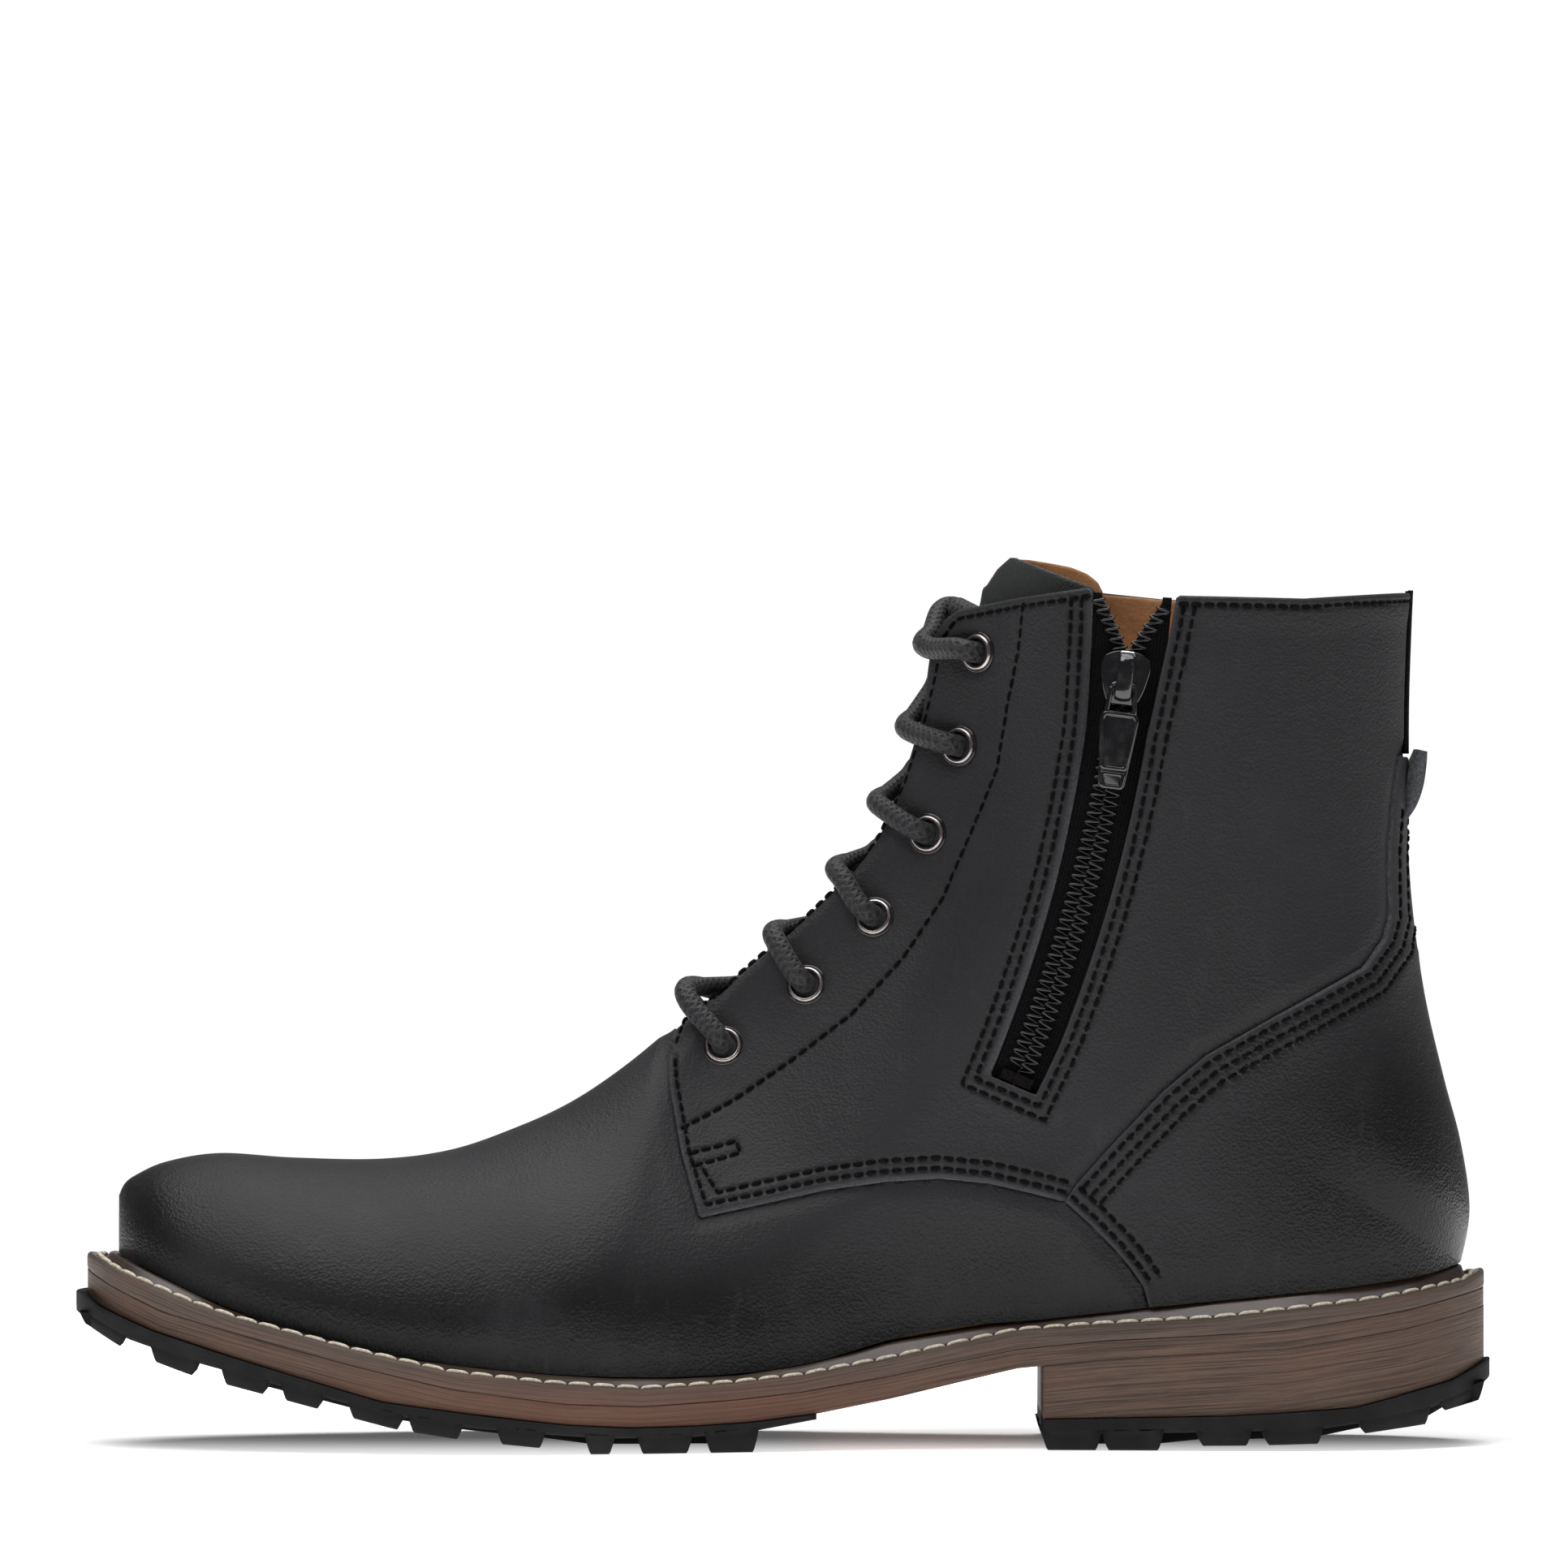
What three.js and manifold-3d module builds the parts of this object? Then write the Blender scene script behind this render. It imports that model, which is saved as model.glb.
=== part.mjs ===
// A right lace-up ankle boot with a side zip, in millimetres.
// +X points to the heel, -Y to the inner (medial) side, +Z up. The boot stands on z = 0.
import * as THREE from 'three';
import Module from 'manifold-3d';
import { mergeVertices } from 'three/addons/utils/BufferGeometryUtils.js';

const wasm = await Module();
wasm.setup();

// ---- Driving dimensions ----
const GAP = 0.35;
const FAR = 90;

// Sole plan: the outer edge of the welt.
const SOLE_TOE_X = -151.6;
const SOLE_HEEL_X = 152.7;
const SOLE_HALF_WIDTH = [
  [-152, 82], [-140, 72], [-125, 67], [-100, 63], [-75, 60.8], [-50, 58], [-25, 53.3], [0, 46.8],
  [25, 41.3], [50, 39.6], [75, 42.7], [100, 50.2], [125, 61.7], [140, 67.5], [153, 70],
];
const SOLE_CENTRE = [
  [-152, -8.7], [-140, -8.2], [-125, -6.5], [-100, -4.5], [-75, -2.5], [-50, 0], [-25, 2.8],
  [0, 5], [25, 4.6], [50, 2.8], [75, 1.1], [100, 0], [153, -0.7],
];
const BEAD_INSET = 4.6;
const WELT_WIDTH = 15;

// Sole profiles, x and z, from toe to heel.
const WELT_TOP = [
  [-152, 42.2], [-148.4, 41], [-143.8, 38.6], [-127.9, 32.2], [-118, 28.9], [-91.4, 22], [-71.1, 17.5],
  [-50.8, 15.2], [-30.4, 13.8], [-10.1, 14.9], [3.5, 16.2], [22.9, 19.8], [50.3, 25.7], [67.3, 27],
  [92.7, 28.5], [127.8, 32.5], [147.4, 35.8], [153, 38.5],
];
const FEATHER = [
  [-147, 42.8], [-134.6, 37.4], [-120.8, 31.2], [-107, 26.3], [-93.2, 22.9], [-79.4, 20.1], [-65.6, 18.4],
  [-50.7, 17], [-37.2, 16.2], [-23.6, 16], [-10.1, 16.5], [3.5, 18.3], [14.9, 20.9], [23, 23.2], [44.1, 26.6],
  [58.1, 28.2], [80.6, 30.7], [102.1, 32.8], [123.5, 35.3], [137.7, 37.1], [150, 40],
];
const MIDSOLE_TOP = [
  [-152, 38.7], [-145.7, 35.3], [-133.9, 29.9], [-118, 25.6], [-91.4, 18.6], [-71.1, 13.8], [-47.1, 10.7],
  [-30.4, 10], [-10.1, 11.2], [3.5, 12.6], [22.9, 15.9], [50.3, 21.6], [69.3, 23.5], [92.7, 24.8],
  [108.1, 25.8], [134.3, 29.9], [153, 34.1],
];
const MIDSOLE_BOTTOM = [
  [-152, 33.7], [-148.3, 30.8], [-136.3, 25.9], [-118, 20.3], [-86.3, 11.2], [-65.6, 8.4], [-47.1, 6.3],
  [-33.6, 5.5], [-20, 5.7], [-6.5, 6.4], [7.1, 8], [23.7, 11.2], [50.3, 17.5], [69.3, 19.4],
  [92.7, 20.8], [108.1, 21.8], [134.3, 25.9], [153, 30.1],
];
const PLATE_BOTTOM = [
  [-154, 29], [-149.8, 28.2], [-141.6, 24], [-127.8, 19.6], [-109.1, 14.8], [-83.3, 8.3], [-68.4, 5.9],
  [-50.7, 4.3], [-38.5, 3.4], [-20.2, 3.4], [-6, 4.6],
];
const LUG_BOTTOM = [
  [-154, 28.6], [-149.8, 26], [-141.6, 21.4], [-127.8, 16.6], [-109.1, 12], [-83.3, 5.4], [-68.4, 3.1],
  [-52, 1.4], [-42, 0], [-6, 0],
];
const FOREFOOT_LUGS = [
  [-151.5, -143], [-135.5, -127], [-120, -111.6], [-107, -99.8], [-92.5, -82.6], [-79.6, -69.8],
  [-60.6, -52.1], [-41.7, -37.2], [-30.5, -20.6], [-16, -6.4],
];
const PLATE_END_X = 7;
const RUBBER_TOE_X = -154;
const RUBBER_PROUD = 1.3;
const RUBBER_TOE_REACH = 1.1;
const HEEL_BREAST_X = 56;
const STACK_BOTTOM = [
  [56, 6.6], [94.7, 7.4], [109.2, 8.2], [123.5, 9.2], [137.7, 12.8], [145, 14.6], [154, 18.9],
];
const HEEL_PLATE_BOTTOM = [
  [56, 3.4], [94.7, 4], [115, 4.6], [125, 6], [138.6, 8.4], [150.6, 12.6], [154, 14.4],
];
const HEEL_LUG_BOTTOM = [
  [56, 0], [81, 0], [90, 1], [100.8, 1.1], [115.3, 1.5], [125, 3.6], [138.6, 5.3], [142.8, 8],
  [150.6, 9.9], [154, 11.6],
];
const HEEL_LUGS = [[56.6, 67.5], [69.7, 80.9], [90, 99.9], [104.2, 115.3], [125, 138.9], [142.8, 151]];
const LUG_TAPER = 1.1;
const LUG_BAND = 24;
const CENTRE_LUG = 11;

// Upper: one row per section, from the toe tip to above the collar. A section runs from the top and front
// profile to the feather line, and from HEEL_ROW on to the back seam.
// front x, front z, end x, end z, half width, end half width, nose width, nose depth, depth, wedge
const SECTIONS = [
  [-144.8, 54, -144.8, 42, 47, 47, 47, 12, 12, 0],
  [-143.6, 56.6, -143.6, 41.4, 47, 47, 47, 15, 15, 0],
  [-141, 58.6, -141, 40.3, 46.5, 46.5, 46.5, 18, 18, 0],
  [-134.5, 61.4, -134.5, 37.4, 45, 45, 45, 23, 23, 0],
  [-123, 63.2, -122, 31.8, 43.4, 43.4, 43.4, 30, 30, 0],
  [-107, 62.2, -105, 25.8, 43.4, 43.4, 43.4, 35, 35, 0],
  [-88, 61.9, -83, 20.7, 46, 46, 46, 40, 40, 0],
  [-72.5, 63.9, -60, 17.8, 49, 49, 48, 44, 46, 0],
  [-58.7, 68.6, -38, 16.3, 49.4, 49.4, 42, 42, 50, 0],
  [-47.1, 73.9, -16, 16.3, 46, 46, 32, 30, 54, 0.4],
  [-36.5, 80.8, 5, 18.6, 41.5, 40.7, 22, 16, 56, 0.7],
  [-26, 89.3, 30, 25.3, 38.5, 35.5, 14.5, 8, 58, 0.9],
  [-15.2, 99.6, 58, 28.2, 37, 33.4, 11.5, 5, 58, 1],
  [-5.8, 107.6, 84, 31.1, 36.5, 33.8, 11, 4.5, 58, 1],
  [1.2, 113.6, 108, 33.5, 36.3, 34.2, 11, 4.5, 58, 1],
  [6.4, 118.4, 128, 35.8, 36.2, 34.2, 11, 4.5, 58, 0.95],
  [10.4, 122.3, 140, 37.6, 36.2, 34.2, 11, 4.5, 58, 0.9],
  [13.2, 125.2, 147.8, 39.6, 36.2, 34.2, 11, 4.5, 58, 0.85],
  [15.9, 128.2, 149.6, 51, 36.2, 36.2, 11, 4.5, 58, 0.8],
  [18.6, 131.8, 147.7, 65.4, 36.3, 36.3, 11, 4.5, 58, 0.75],
  [21.2, 136.5, 143.9, 80, 36.7, 36.7, 11, 4.5, 58, 0.65],
  [23.5, 142.4, 139.8, 98, 37.2, 37.2, 11, 4.5, 57, 0.5],
  [26.4, 150.5, 137, 118.5, 37.8, 37.8, 10.8, 4.3, 55, 0.35],
  [28.8, 159.5, 136, 138, 38.6, 38.6, 10.5, 4.1, 53, 0.2],
  [30.6, 171.5, 135.8, 158, 39.8, 39.8, 10.3, 4, 51, 0.1],
  [32, 180, 136.3, 176, 40.7, 40.7, 10.2, 4, 50, 0],
  [34.2, 197, 137.2, 196, 41.8, 41.8, 10, 4, 49, 0],
];
const HEEL_ROW = 17;
const TOE_X = -144.8;
const TOE_PLAN_DEPTH = 60;
const UPPER_HEEL_X = 147.8;
const HEEL_DEPTH = 34;
const COLLAR_BACK_DEPTH = 50;
const TUCK = 1.2;
const THROAT = 9.5;

// Layers of the upper, as depths below the outer surface.
const LEATHER = [0, 1.6];
const STIFFENER = [1.95, 2.6];
const LINING = [2.95, 3.9];
const TONGUE_DEPTH = 10.2;
const TONGUE_SIDE = 9.8;
const TONGUE_WRAP = 0.62;

// Side-view outlines of the panels, x and z.
const QUARTER_FRONT = [[-23.4, 97], [-25.4, 84], [-24.9, 78.7], [-22.1, 63.3], [-18.3, 50.3]];
const QUARTER_BOTTOM = [[-5, 53.1], [9, 56.2], [21.7, 58], [33.6, 58.7], [44.1, 57.6], [53.2, 55.5]];
const COUNTER_CORNER = [60.6, 53.6];
const COUNTER_TOP = [
  [63.1, 57.2], [71.6, 66.7], [81.8, 77.4], [91.1, 85.2], [105.3, 93.2], [115.4, 98.6], [125.6, 104],
  [130.3, 110.1], [131.7, 114.9], [131.6, 128.5], [132.4, 138.6], [134, 149.5],
];
const COUNTER_FRONT = [[60.6, 53.6], [66.3, 48.4], [71.6, 43], [75.1, 38.8], [77.6, 35.1], [79.6, 28]];
const COLLAR_REAR = [[145, 185.6], [135.4, 185.2], [112.3, 183.7], [84.7, 184.3]];
const COLLAR_FRONT = [[66.5, 186.1], [50.3, 183.8], [38, 181.4], [35.6, 179.6], [33.2, 176], [20, 172]];
const TONGUE_OUTLINE = [
  [-29, 60], [-29, 96], [20, 170], [40, 193.1], [58, 192.3], [66, 189.4], [70, 184], [66, 150], [50, 118],
  [25, 92], [0, 72],
];

// Zip: an arc in a plane close to the inner side of the shaft.
const ZIP_CENTRE = [-254, 208];
const ZIP_RADIUS = 330;
const ZIP_PLANE_Y = -36.5;
const ZIP_PLANE_Z = 127;
const ZIP_LEAN = 0.052;
const ZIP_REST = 7.2;
const ZIP_TOP = 4.1;
const ZIP_BOTTOM = 23.1;
const TAPE_DEPTH = 2.05;
const TAPE_THICKNESS = 0.5;
const TAPE_WIDTH = 8.5;
const TAPE_SLIT = 1;
const COIL_WIDTH = 3.4;
const COIL_HEIGHT = 1.7;
const SLOT_FRONT = [[3.9, 9], [7, 8], [9.2, 7], [15, 6.3], [23.3, 6]];
const SLOT_REAR = [[3.9, 9.5], [7, 7.6], [9.2, 6.6], [15, 6.4], [21, 6], [23.3, 5.2]];

// Closure hardware.
const EYELETS = [[-13.2, 86.8], [4.8, 100], [19.6, 114.7], [31.2, 132.8], [38, 151.9], [42, 172.2]];
const EYELET_OUTER = 4.25;
const EYELET_BORE = 2.75;
const EYELET_BARREL = 3.25;
const EYELET_HOLE = 3.6;
const EYELET_BACK = -4.7;
const EYELET_FACES = 10;
const LACE_RADIUS = 1.4;
const AGLET_LENGTH = 12;
const AGLET_RADIUS = 1.3;
const NAIL_PLACES = [[75, -14], [75, 14], [105, -20], [105, 20], [128, 0]];

// ---- Materials ----
const finish = (color, roughness, metalness = 0) =>
  new THREE.MeshStandardMaterial({ color, roughness, metalness });
const blackLeather = finish(0x2e2e31, 0.6);
const tanLeather = finish(0xb9834f, 0.65);
const rubber = finish(0x1b1b1c, 0.8);
const stackedLeather = finish(0x6a4c3c, 0.55);
const thread = finish(0x1a1718, 0.7);
const ivoryThread = finish(0xd8cdb6, 0.7);
const board = finish(0x9a7a55, 0.85);
const cork = finish(0xa9794b, 0.9);
const steel = finish(0x8f9094, 0.35, 1);
const gunmetal = finish(0x6e6466, 0.3, 1);
const blackNylon = finish(0x111113, 0.45);
const blackEnamel = finish(0x0c0c0d, 0.2, 0.4);

// ---- Numbers and curves ----
const lerp = (a, b, t) => a + (b - a) * t;
const clamp = (v, lo = 0, hi = 1) => Math.min(hi, Math.max(lo, v));
const smooth = (lo, hi, v) => {
  const t = clamp((v - lo) / (hi - lo));
  return t * t * (3 - 2 * t);
};
const quarter = (v) => Math.sqrt(1 - (1 - clamp(v)) ** 2);

function along(table, x) {
  // Straight-line value of a table of [x, value] rows.
  let i = 1;
  while (i < table.length - 1 && table[i][0] < x) i += 1;
  const [x0, v0] = table[i - 1];
  const [x1, v1] = table[i];
  return lerp(v0, v1, clamp((x - x0) / (x1 - x0)));
}

function rounded(table, x) {
  // Smooth value of a table of [x, value] rows, by Catmull-Rom.
  let i = 1;
  while (i < table.length - 1 && table[i][0] < x) i += 1;
  const [x1, v1] = table[i - 1];
  const [x2, v2] = table[i];
  const [x0, v0] = table[Math.max(i - 2, 0)];
  const [x3, v3] = table[Math.min(i + 1, table.length - 1)];
  const t = clamp((x - x1) / (x2 - x1));
  const m1 = ((v2 - v0) / (x2 - x0)) * (x2 - x1);
  const m2 = ((v3 - v1) / (x3 - x1)) * (x2 - x1);
  const t2 = t * t;
  const t3 = t2 * t;
  return (2 * t3 - 3 * t2 + 1) * v1 + (t3 - 2 * t2 + t) * m1 + (3 * t2 - 2 * t3) * v2 + (t3 - t2) * m2;
}

// ---- Solids ----
function solidOf(geometry) {
  const bare = geometry.index ? geometry : geometry.clone();
  bare.deleteAttribute('normal');
  bare.deleteAttribute('uv');
  const merged = mergeVertices(bare, 1e-4);
  return new wasm.Manifold(new wasm.Mesh({
    numProp: 3,
    vertProperties: new Float32Array(merged.attributes.position.array),
    triVerts: new Uint32Array(merged.index.array),
  }));
}

function closedSolid(positions, triangles) {
  // A solid from a closed triangle mesh, with its faces turned outwards.
  const make = (list) => new wasm.Manifold(new wasm.Mesh({
    numProp: 3,
    vertProperties: new Float32Array(positions),
    triVerts: new Uint32Array(list),
  }));
  const solid = make(triangles);
  return solid.volume() > 0 ? solid : make([...triangles].reverse());
}

function shapeOf(points) {
  return new THREE.Shape(points.map(([a, b]) => new THREE.Vector2(a, b)));
}

function sidePrism(points, yFrom, yTo) {
  const depth = yTo - yFrom;
  const geometry = new THREE.ExtrudeGeometry(shapeOf(points), { depth, bevelEnabled: false });
  geometry.rotateX(Math.PI / 2);
  geometry.translate(0, yTo, 0);
  return solidOf(geometry);
}

function planPrism(points, zFrom, zTo) {
  const geometry = new THREE.ExtrudeGeometry(shapeOf(points), { depth: zTo - zFrom, bevelEnabled: false });
  geometry.translate(0, 0, zFrom);
  return solidOf(geometry);
}

function turned(profile, segments) {
  // A solid of revolution about Z from a closed profile of [radius, z].
  const points = [...profile, profile[0]].map(([r, z]) => new THREE.Vector2(r, z));
  const geometry = new THREE.LatheGeometry(points, segments);
  geometry.rotateX(Math.PI / 2);
  return solidOf(geometry);
}

function placed(solid, matrix) {
  return solid.transform(matrix.toArray());
}

const boot = new THREE.Group();

function add(name, solid, material) {
  const mesh = solid.getMesh();
  const geometry = new THREE.BufferGeometry();
  geometry.setAttribute('position', new THREE.BufferAttribute(new Float32Array(mesh.vertProperties), 3));
  geometry.setIndex(new THREE.BufferAttribute(new Uint32Array(mesh.triVerts), 1));
  geometry.computeVertexNormals();
  const piece = new THREE.Mesh(geometry, material);
  piece.name = name;
  boot.add(piece);
}

// ---- The surface of the upper ----
function column(a, k) {
  // Catmull-Rom through one column of SECTIONS. The end point turns a corner at HEEL_ROW.
  const last = SECTIONS.length - 1;
  const i = Math.min(Math.floor(a), last - 1);
  const f = a - i;
  const corner = k === 2 || k === 3;
  let before = Math.max(i - 1, 0);
  let after = Math.min(i + 2, last);
  if (corner && i < HEEL_ROW) after = Math.min(after, HEEL_ROW);
  if (corner && i >= HEEL_ROW) before = Math.max(before, HEEL_ROW);
  const [p0, p1, p2, p3] = [before, i, i + 1, after].map((r) => SECTIONS[r][k]);
  return p1 + 0.5 * f * (p2 - p0 + f * (2 * p0 - 5 * p1 + 4 * p2 - p3 + f * (3 * (p1 - p2) + p3 - p0)));
}

const centreShift = (x, z) => rounded(SOLE_CENTRE, x) * (1 - smooth(45, 115, z));
const zipPlane = (z) => ZIP_PLANE_Y - ZIP_LEAN * (z - ZIP_PLANE_Z);

function upperPoint(a, u, inset, frontInset = inset) {
  // The point of section a at u from -1 (inner end) over 0 (front profile) to 1 (outer end).
  const s = SECTIONS[0].map((_, k) => column(a, k));
  const [fx, fz, ex, ez, width, endWidth, noseWidth, noseDepth, depth, wedge] = s;
  const length = Math.hypot(ex - fx, ez - fz);
  const toeShift = inset * (1 - smooth(0, TOE_PLAN_DEPTH, fx - TOE_X));
  const heelShift = inset * (a >= HEEL_ROW ? 1 : smooth(90, UPPER_HEEL_X, ex));
  const x0 = fx + (frontInset * (ex - fx)) / length + toeShift;
  const z0 = fz + (frontInset * (ez - fz)) / length;
  const x1 = ex - heelShift + toeShift;
  const tau = Math.abs(u);
  const open = 1 - Math.cos((tau * Math.PI) / 2);
  const closed = (1 - Math.cos(tau * Math.PI)) / 2;
  const t = lerp(open, closed, smooth(HEEL_ROW - 4, HEEL_ROW + 1, a));
  const x = lerp(x0, x1, t);
  const z = lerp(z0, ez, t);
  const d = Math.hypot(x - x0, z - z0);
  const reach = clamp((d + frontInset) / depth);
  const flare = lerp(Math.sin((reach * Math.PI) / 2), (1 - Math.cos(reach * Math.PI)) / 2, wedge);
  const full = lerp(width, endWidth, smooth(0.6, 1, t));
  const toe = quarter((x - TOE_X - inset) / TOE_PLAN_DEPTH);
  const backDepth = lerp(HEEL_DEPTH, COLLAR_BACK_DEPTH, smooth(60, 185, z));
  const backX = (a >= HEEL_ROW ? ex : UPPER_HEEL_X) - inset;
  const back = quarter((backX - x) / (backDepth - inset));
  const featherZ = a >= HEEL_ROW ? SECTIONS[HEEL_ROW][3] : ez;
  const tuck = TUCK * Math.exp(-(((z - featherZ) / 6) ** 2));
  const outer = noseWidth + (full - noseWidth) * flare - tuck - inset;
  const seam = a === 0 || (a >= HEEL_ROW && tau === 1);
  const half = seam ? 0 : Math.max(0, outer * quarter(d / noseDepth) * toe * back);
  const side = Math.sign(u);
  let y = centreShift(x, z) + side * half;
  if (side < 0) {
    const off = Math.abs(Math.hypot(x - ZIP_CENTRE[0], z - ZIP_CENTRE[1]) - ZIP_RADIUS);
    const near = 1 - smooth(8, 30, off);
    y = lerp(y, zipPlane(z) + inset, near * smooth(50, 68, z));
  }
  return new THREE.Vector3(x, y, z);
}

function upperShell(from, to, rows, columns) {
  // The closed solid between two surfaces of the upper. from and to give a point from (a, u).
  const positions = [];
  const index = new Map();
  const triangles = [];
  const vertex = (p) => {
    const key = p.toArray().map((v) => Math.round(v * 1e4)).join();
    if (!index.has(key)) {
      index.set(key, positions.length / 3);
      positions.push(p.x, p.y, p.z);
    }
    return index.get(key);
  };
  const triangle = (a, b, c) => {
    if (a !== b && b !== c && c !== a) triangles.push(a, b, c);
  };
  const quad = (a, b, c, d) => {
    triangle(a, b, c);
    triangle(a, c, d);
  };
  const us = [];
  for (let j = -columns; j <= columns; j += 1) us.push(j / columns);
  const grid = (surface) => rows.map((a) => us.map((u) => vertex(surface(a, u))));
  const outer = grid(from);
  const inner = grid(to);
  const last = rows.length - 1;
  const end = us.length - 1;
  for (let i = 0; i < last; i += 1) {
    for (let j = 0; j < end; j += 1) {
      quad(outer[i][j], outer[i][j + 1], outer[i + 1][j + 1], outer[i + 1][j]);
      quad(inner[i][j], inner[i + 1][j], inner[i + 1][j + 1], inner[i][j + 1]);
    }
    const closed = outer[i][0] === outer[i][end] && outer[i + 1][0] === outer[i + 1][end];
    if (!closed) {
      quad(outer[i][0], outer[i + 1][0], inner[i + 1][0], inner[i][0]);
      quad(outer[i][end], inner[i][end], inner[i + 1][end], outer[i + 1][end]);
    }
  }
  for (let j = 0; j < end; j += 1) {
    quad(outer[last][j], outer[last][j + 1], inner[last][j + 1], inner[last][j]);
    if (rows[0] > 0) quad(outer[0][j], inner[0][j], inner[0][j + 1], outer[0][j + 1]);
  }
  return closedSolid(positions, triangles);
}

const rowsFrom = (first, last, step = 1) => {
  const rows = [];
  for (let a = first; a <= last + 1e-9; a += step) rows.push(a);
  return rows;
};
const ALL_ROWS = rowsFrom(0, SECTIONS.length - 1);
const COLUMNS = 11;
const layer = ([outer, inner]) =>
  upperShell((a, u) => upperPoint(a, u, outer), (a, u) => upperPoint(a, u, inner), ALL_ROWS, COLUMNS);

// ---- Frames on the surface ----
function surfaceFrame(x, z, side, inset = 0) {
  // A frame whose Z points out of the upper at the side-view place x, z.
  let best = [0, 0];
  let error = Infinity;
  const search = (a0, a1, u0, u1, steps) => {
    for (let i = 0; i <= steps; i += 1) {
      for (let j = 0; j <= steps; j += 1) {
        const a = clamp(lerp(a0, a1, i / steps), 0, SECTIONS.length - 1);
        const u = side * clamp(lerp(u0, u1, j / steps), 0.001, 1);
        const p = upperPoint(a, u, inset);
        const e = Math.hypot(p.x - x, p.z - z);
        if (e < error) {
          error = e;
          best = [a, u];
        }
      }
    }
  };
  search(0, SECTIONS.length - 1, 0, 1, 60);
  for (let span = 0.5; span > 1e-4; span /= 3) {
    const [a, u] = best;
    search(a - span, a + span, Math.abs(u) - span / 10, Math.abs(u) + span / 10, 10);
  }
  const [a, u] = best;
  const at = upperPoint(a, u, inset);
  const da = upperPoint(a + 0.02, u, inset).sub(upperPoint(a - 0.02, u, inset));
  const du = upperPoint(a, u + 0.004, inset).sub(upperPoint(a, u - 0.004, inset));
  const normal = new THREE.Vector3().crossVectors(du, da).normalize();
  if (normal.y * side < 0) normal.negate();
  return { at, normal };
}

function frameMatrix(origin, xAxis, yAxis, zAxis) {
  return new THREE.Matrix4().makeBasis(xAxis, yAxis, zAxis).setPosition(origin);
}

function outwardMatrix({ at, normal }) {
  const x = new THREE.Vector3(0, 0, 1).cross(normal).normalize();
  return frameMatrix(at, x, new THREE.Vector3().crossVectors(normal, x), normal);
}

// ---- Sole ----
function soleOutline(inset, count = 26, toeReach = 0) {
  // The plan outline of the sole, as a closed list of [x, y], moved inwards by inset and forwards at the toe.
  const middle = (SOLE_TOE_X + SOLE_HEEL_X) / 2;
  const half = (SOLE_HEEL_X - SOLE_TOE_X) / 2;
  const edge = (turn) => {
    const x = middle - half * Math.cos(turn);
    const y = rounded(SOLE_HALF_WIDTH, x) * Math.sin(turn);
    return [x, rounded(SOLE_CENTRE, x) - y];
  };
  const points = [];
  for (let i = 0; i < 2 * count; i += 1) {
    const turn = (i * Math.PI) / count;
    const [x, y] = edge(turn);
    const [xa, ya] = edge(turn - 0.01);
    const [xb, yb] = edge(turn + 0.01);
    const run = Math.hypot(xb - xa, yb - ya);
    const reach = toeReach * smooth(-110, -150, x);
    points.push([x - (inset * (yb - ya)) / run - reach, y + (inset * (xb - xa)) / run]);
  }
  return points;
}

function profileBand(top, bottom, x0, x1, topShift = 0, bottomShift = 0) {
  // The side-view outline between two profiles from x0 to x1.
  const cut = (table, shift) => {
    const inside = table.filter(([x]) => x > x0 + 0.01 && x < x1 - 0.01);
    const ends = (x) => [x, along(table, x)];
    return [ends(x0), ...inside, ends(x1)].map(([x, z]) => [x, z + shift]);
  };
  return [...cut(bottom, bottomShift), ...cut(top, topShift).reverse()];
}

function soleSlab(inset, top, bottom, x0, x1, topShift, bottomShift) {
  const side = sidePrism(profileBand(top, bottom, x0, x1, topShift, bottomShift), -FAR, FAR);
  return planPrism(soleOutline(inset), -5, 60).intersect(side);
}

function lugged(plateTop, plateBottom, lugBottom, lugs, x0, x1, inset, centreFrom) {
  // A rubber plate with lugs along both edges and smaller ones down the middle.
  const outline = planPrism(soleOutline(inset, 26, RUBBER_TOE_REACH), -5, 60);
  let solid = sidePrism(profileBand(plateTop, plateBottom, x0, x1, -GAP), -FAR, FAR).intersect(outline);
  const lugAt = (from, to, y0, y1) => sidePrism([
    [from, along(lugBottom, from)], [to, along(lugBottom, to)],
    [to + LUG_TAPER, along(plateBottom, to) + 0.5], [from - LUG_TAPER, along(plateBottom, from) + 0.5],
  ], y0, y1);
  lugs.forEach(([from, to], i) => {
    const centre = along(SOLE_CENTRE, (from + to) / 2);
    const width = rounded(SOLE_HALF_WIDTH, from);
    const half = Math.min(LUG_BAND, width * 0.45);
    const edges = lugAt(from, to, -FAR, centre - FAR / 10 - half / 3)
      .add(lugAt(from, to, centre + FAR / 10 + half / 3, FAR)).intersect(outline);
    solid = solid.add(edges);
    if (i >= centreFrom && i < lugs.length - 1) {
      const next = lugs[i + 1][0];
      solid = solid.add(lugAt(to - 1, next + 1, centre - CENTRE_LUG, centre + CENTRE_LUG));
    }
  });
  return solid;
}

add('outsole_forefoot', lugged(
  MIDSOLE_BOTTOM, PLATE_BOTTOM, LUG_BOTTOM, FOREFOOT_LUGS, RUBBER_TOE_X, PLATE_END_X, -RUBBER_PROUD, 2,
), rubber);
add('heel_lift', lugged(
  STACK_BOTTOM, HEEL_PLATE_BOTTOM, HEEL_LUG_BOTTOM, HEEL_LUGS, HEEL_BREAST_X, 154, -RUBBER_PROUD, 0), rubber);

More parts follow.
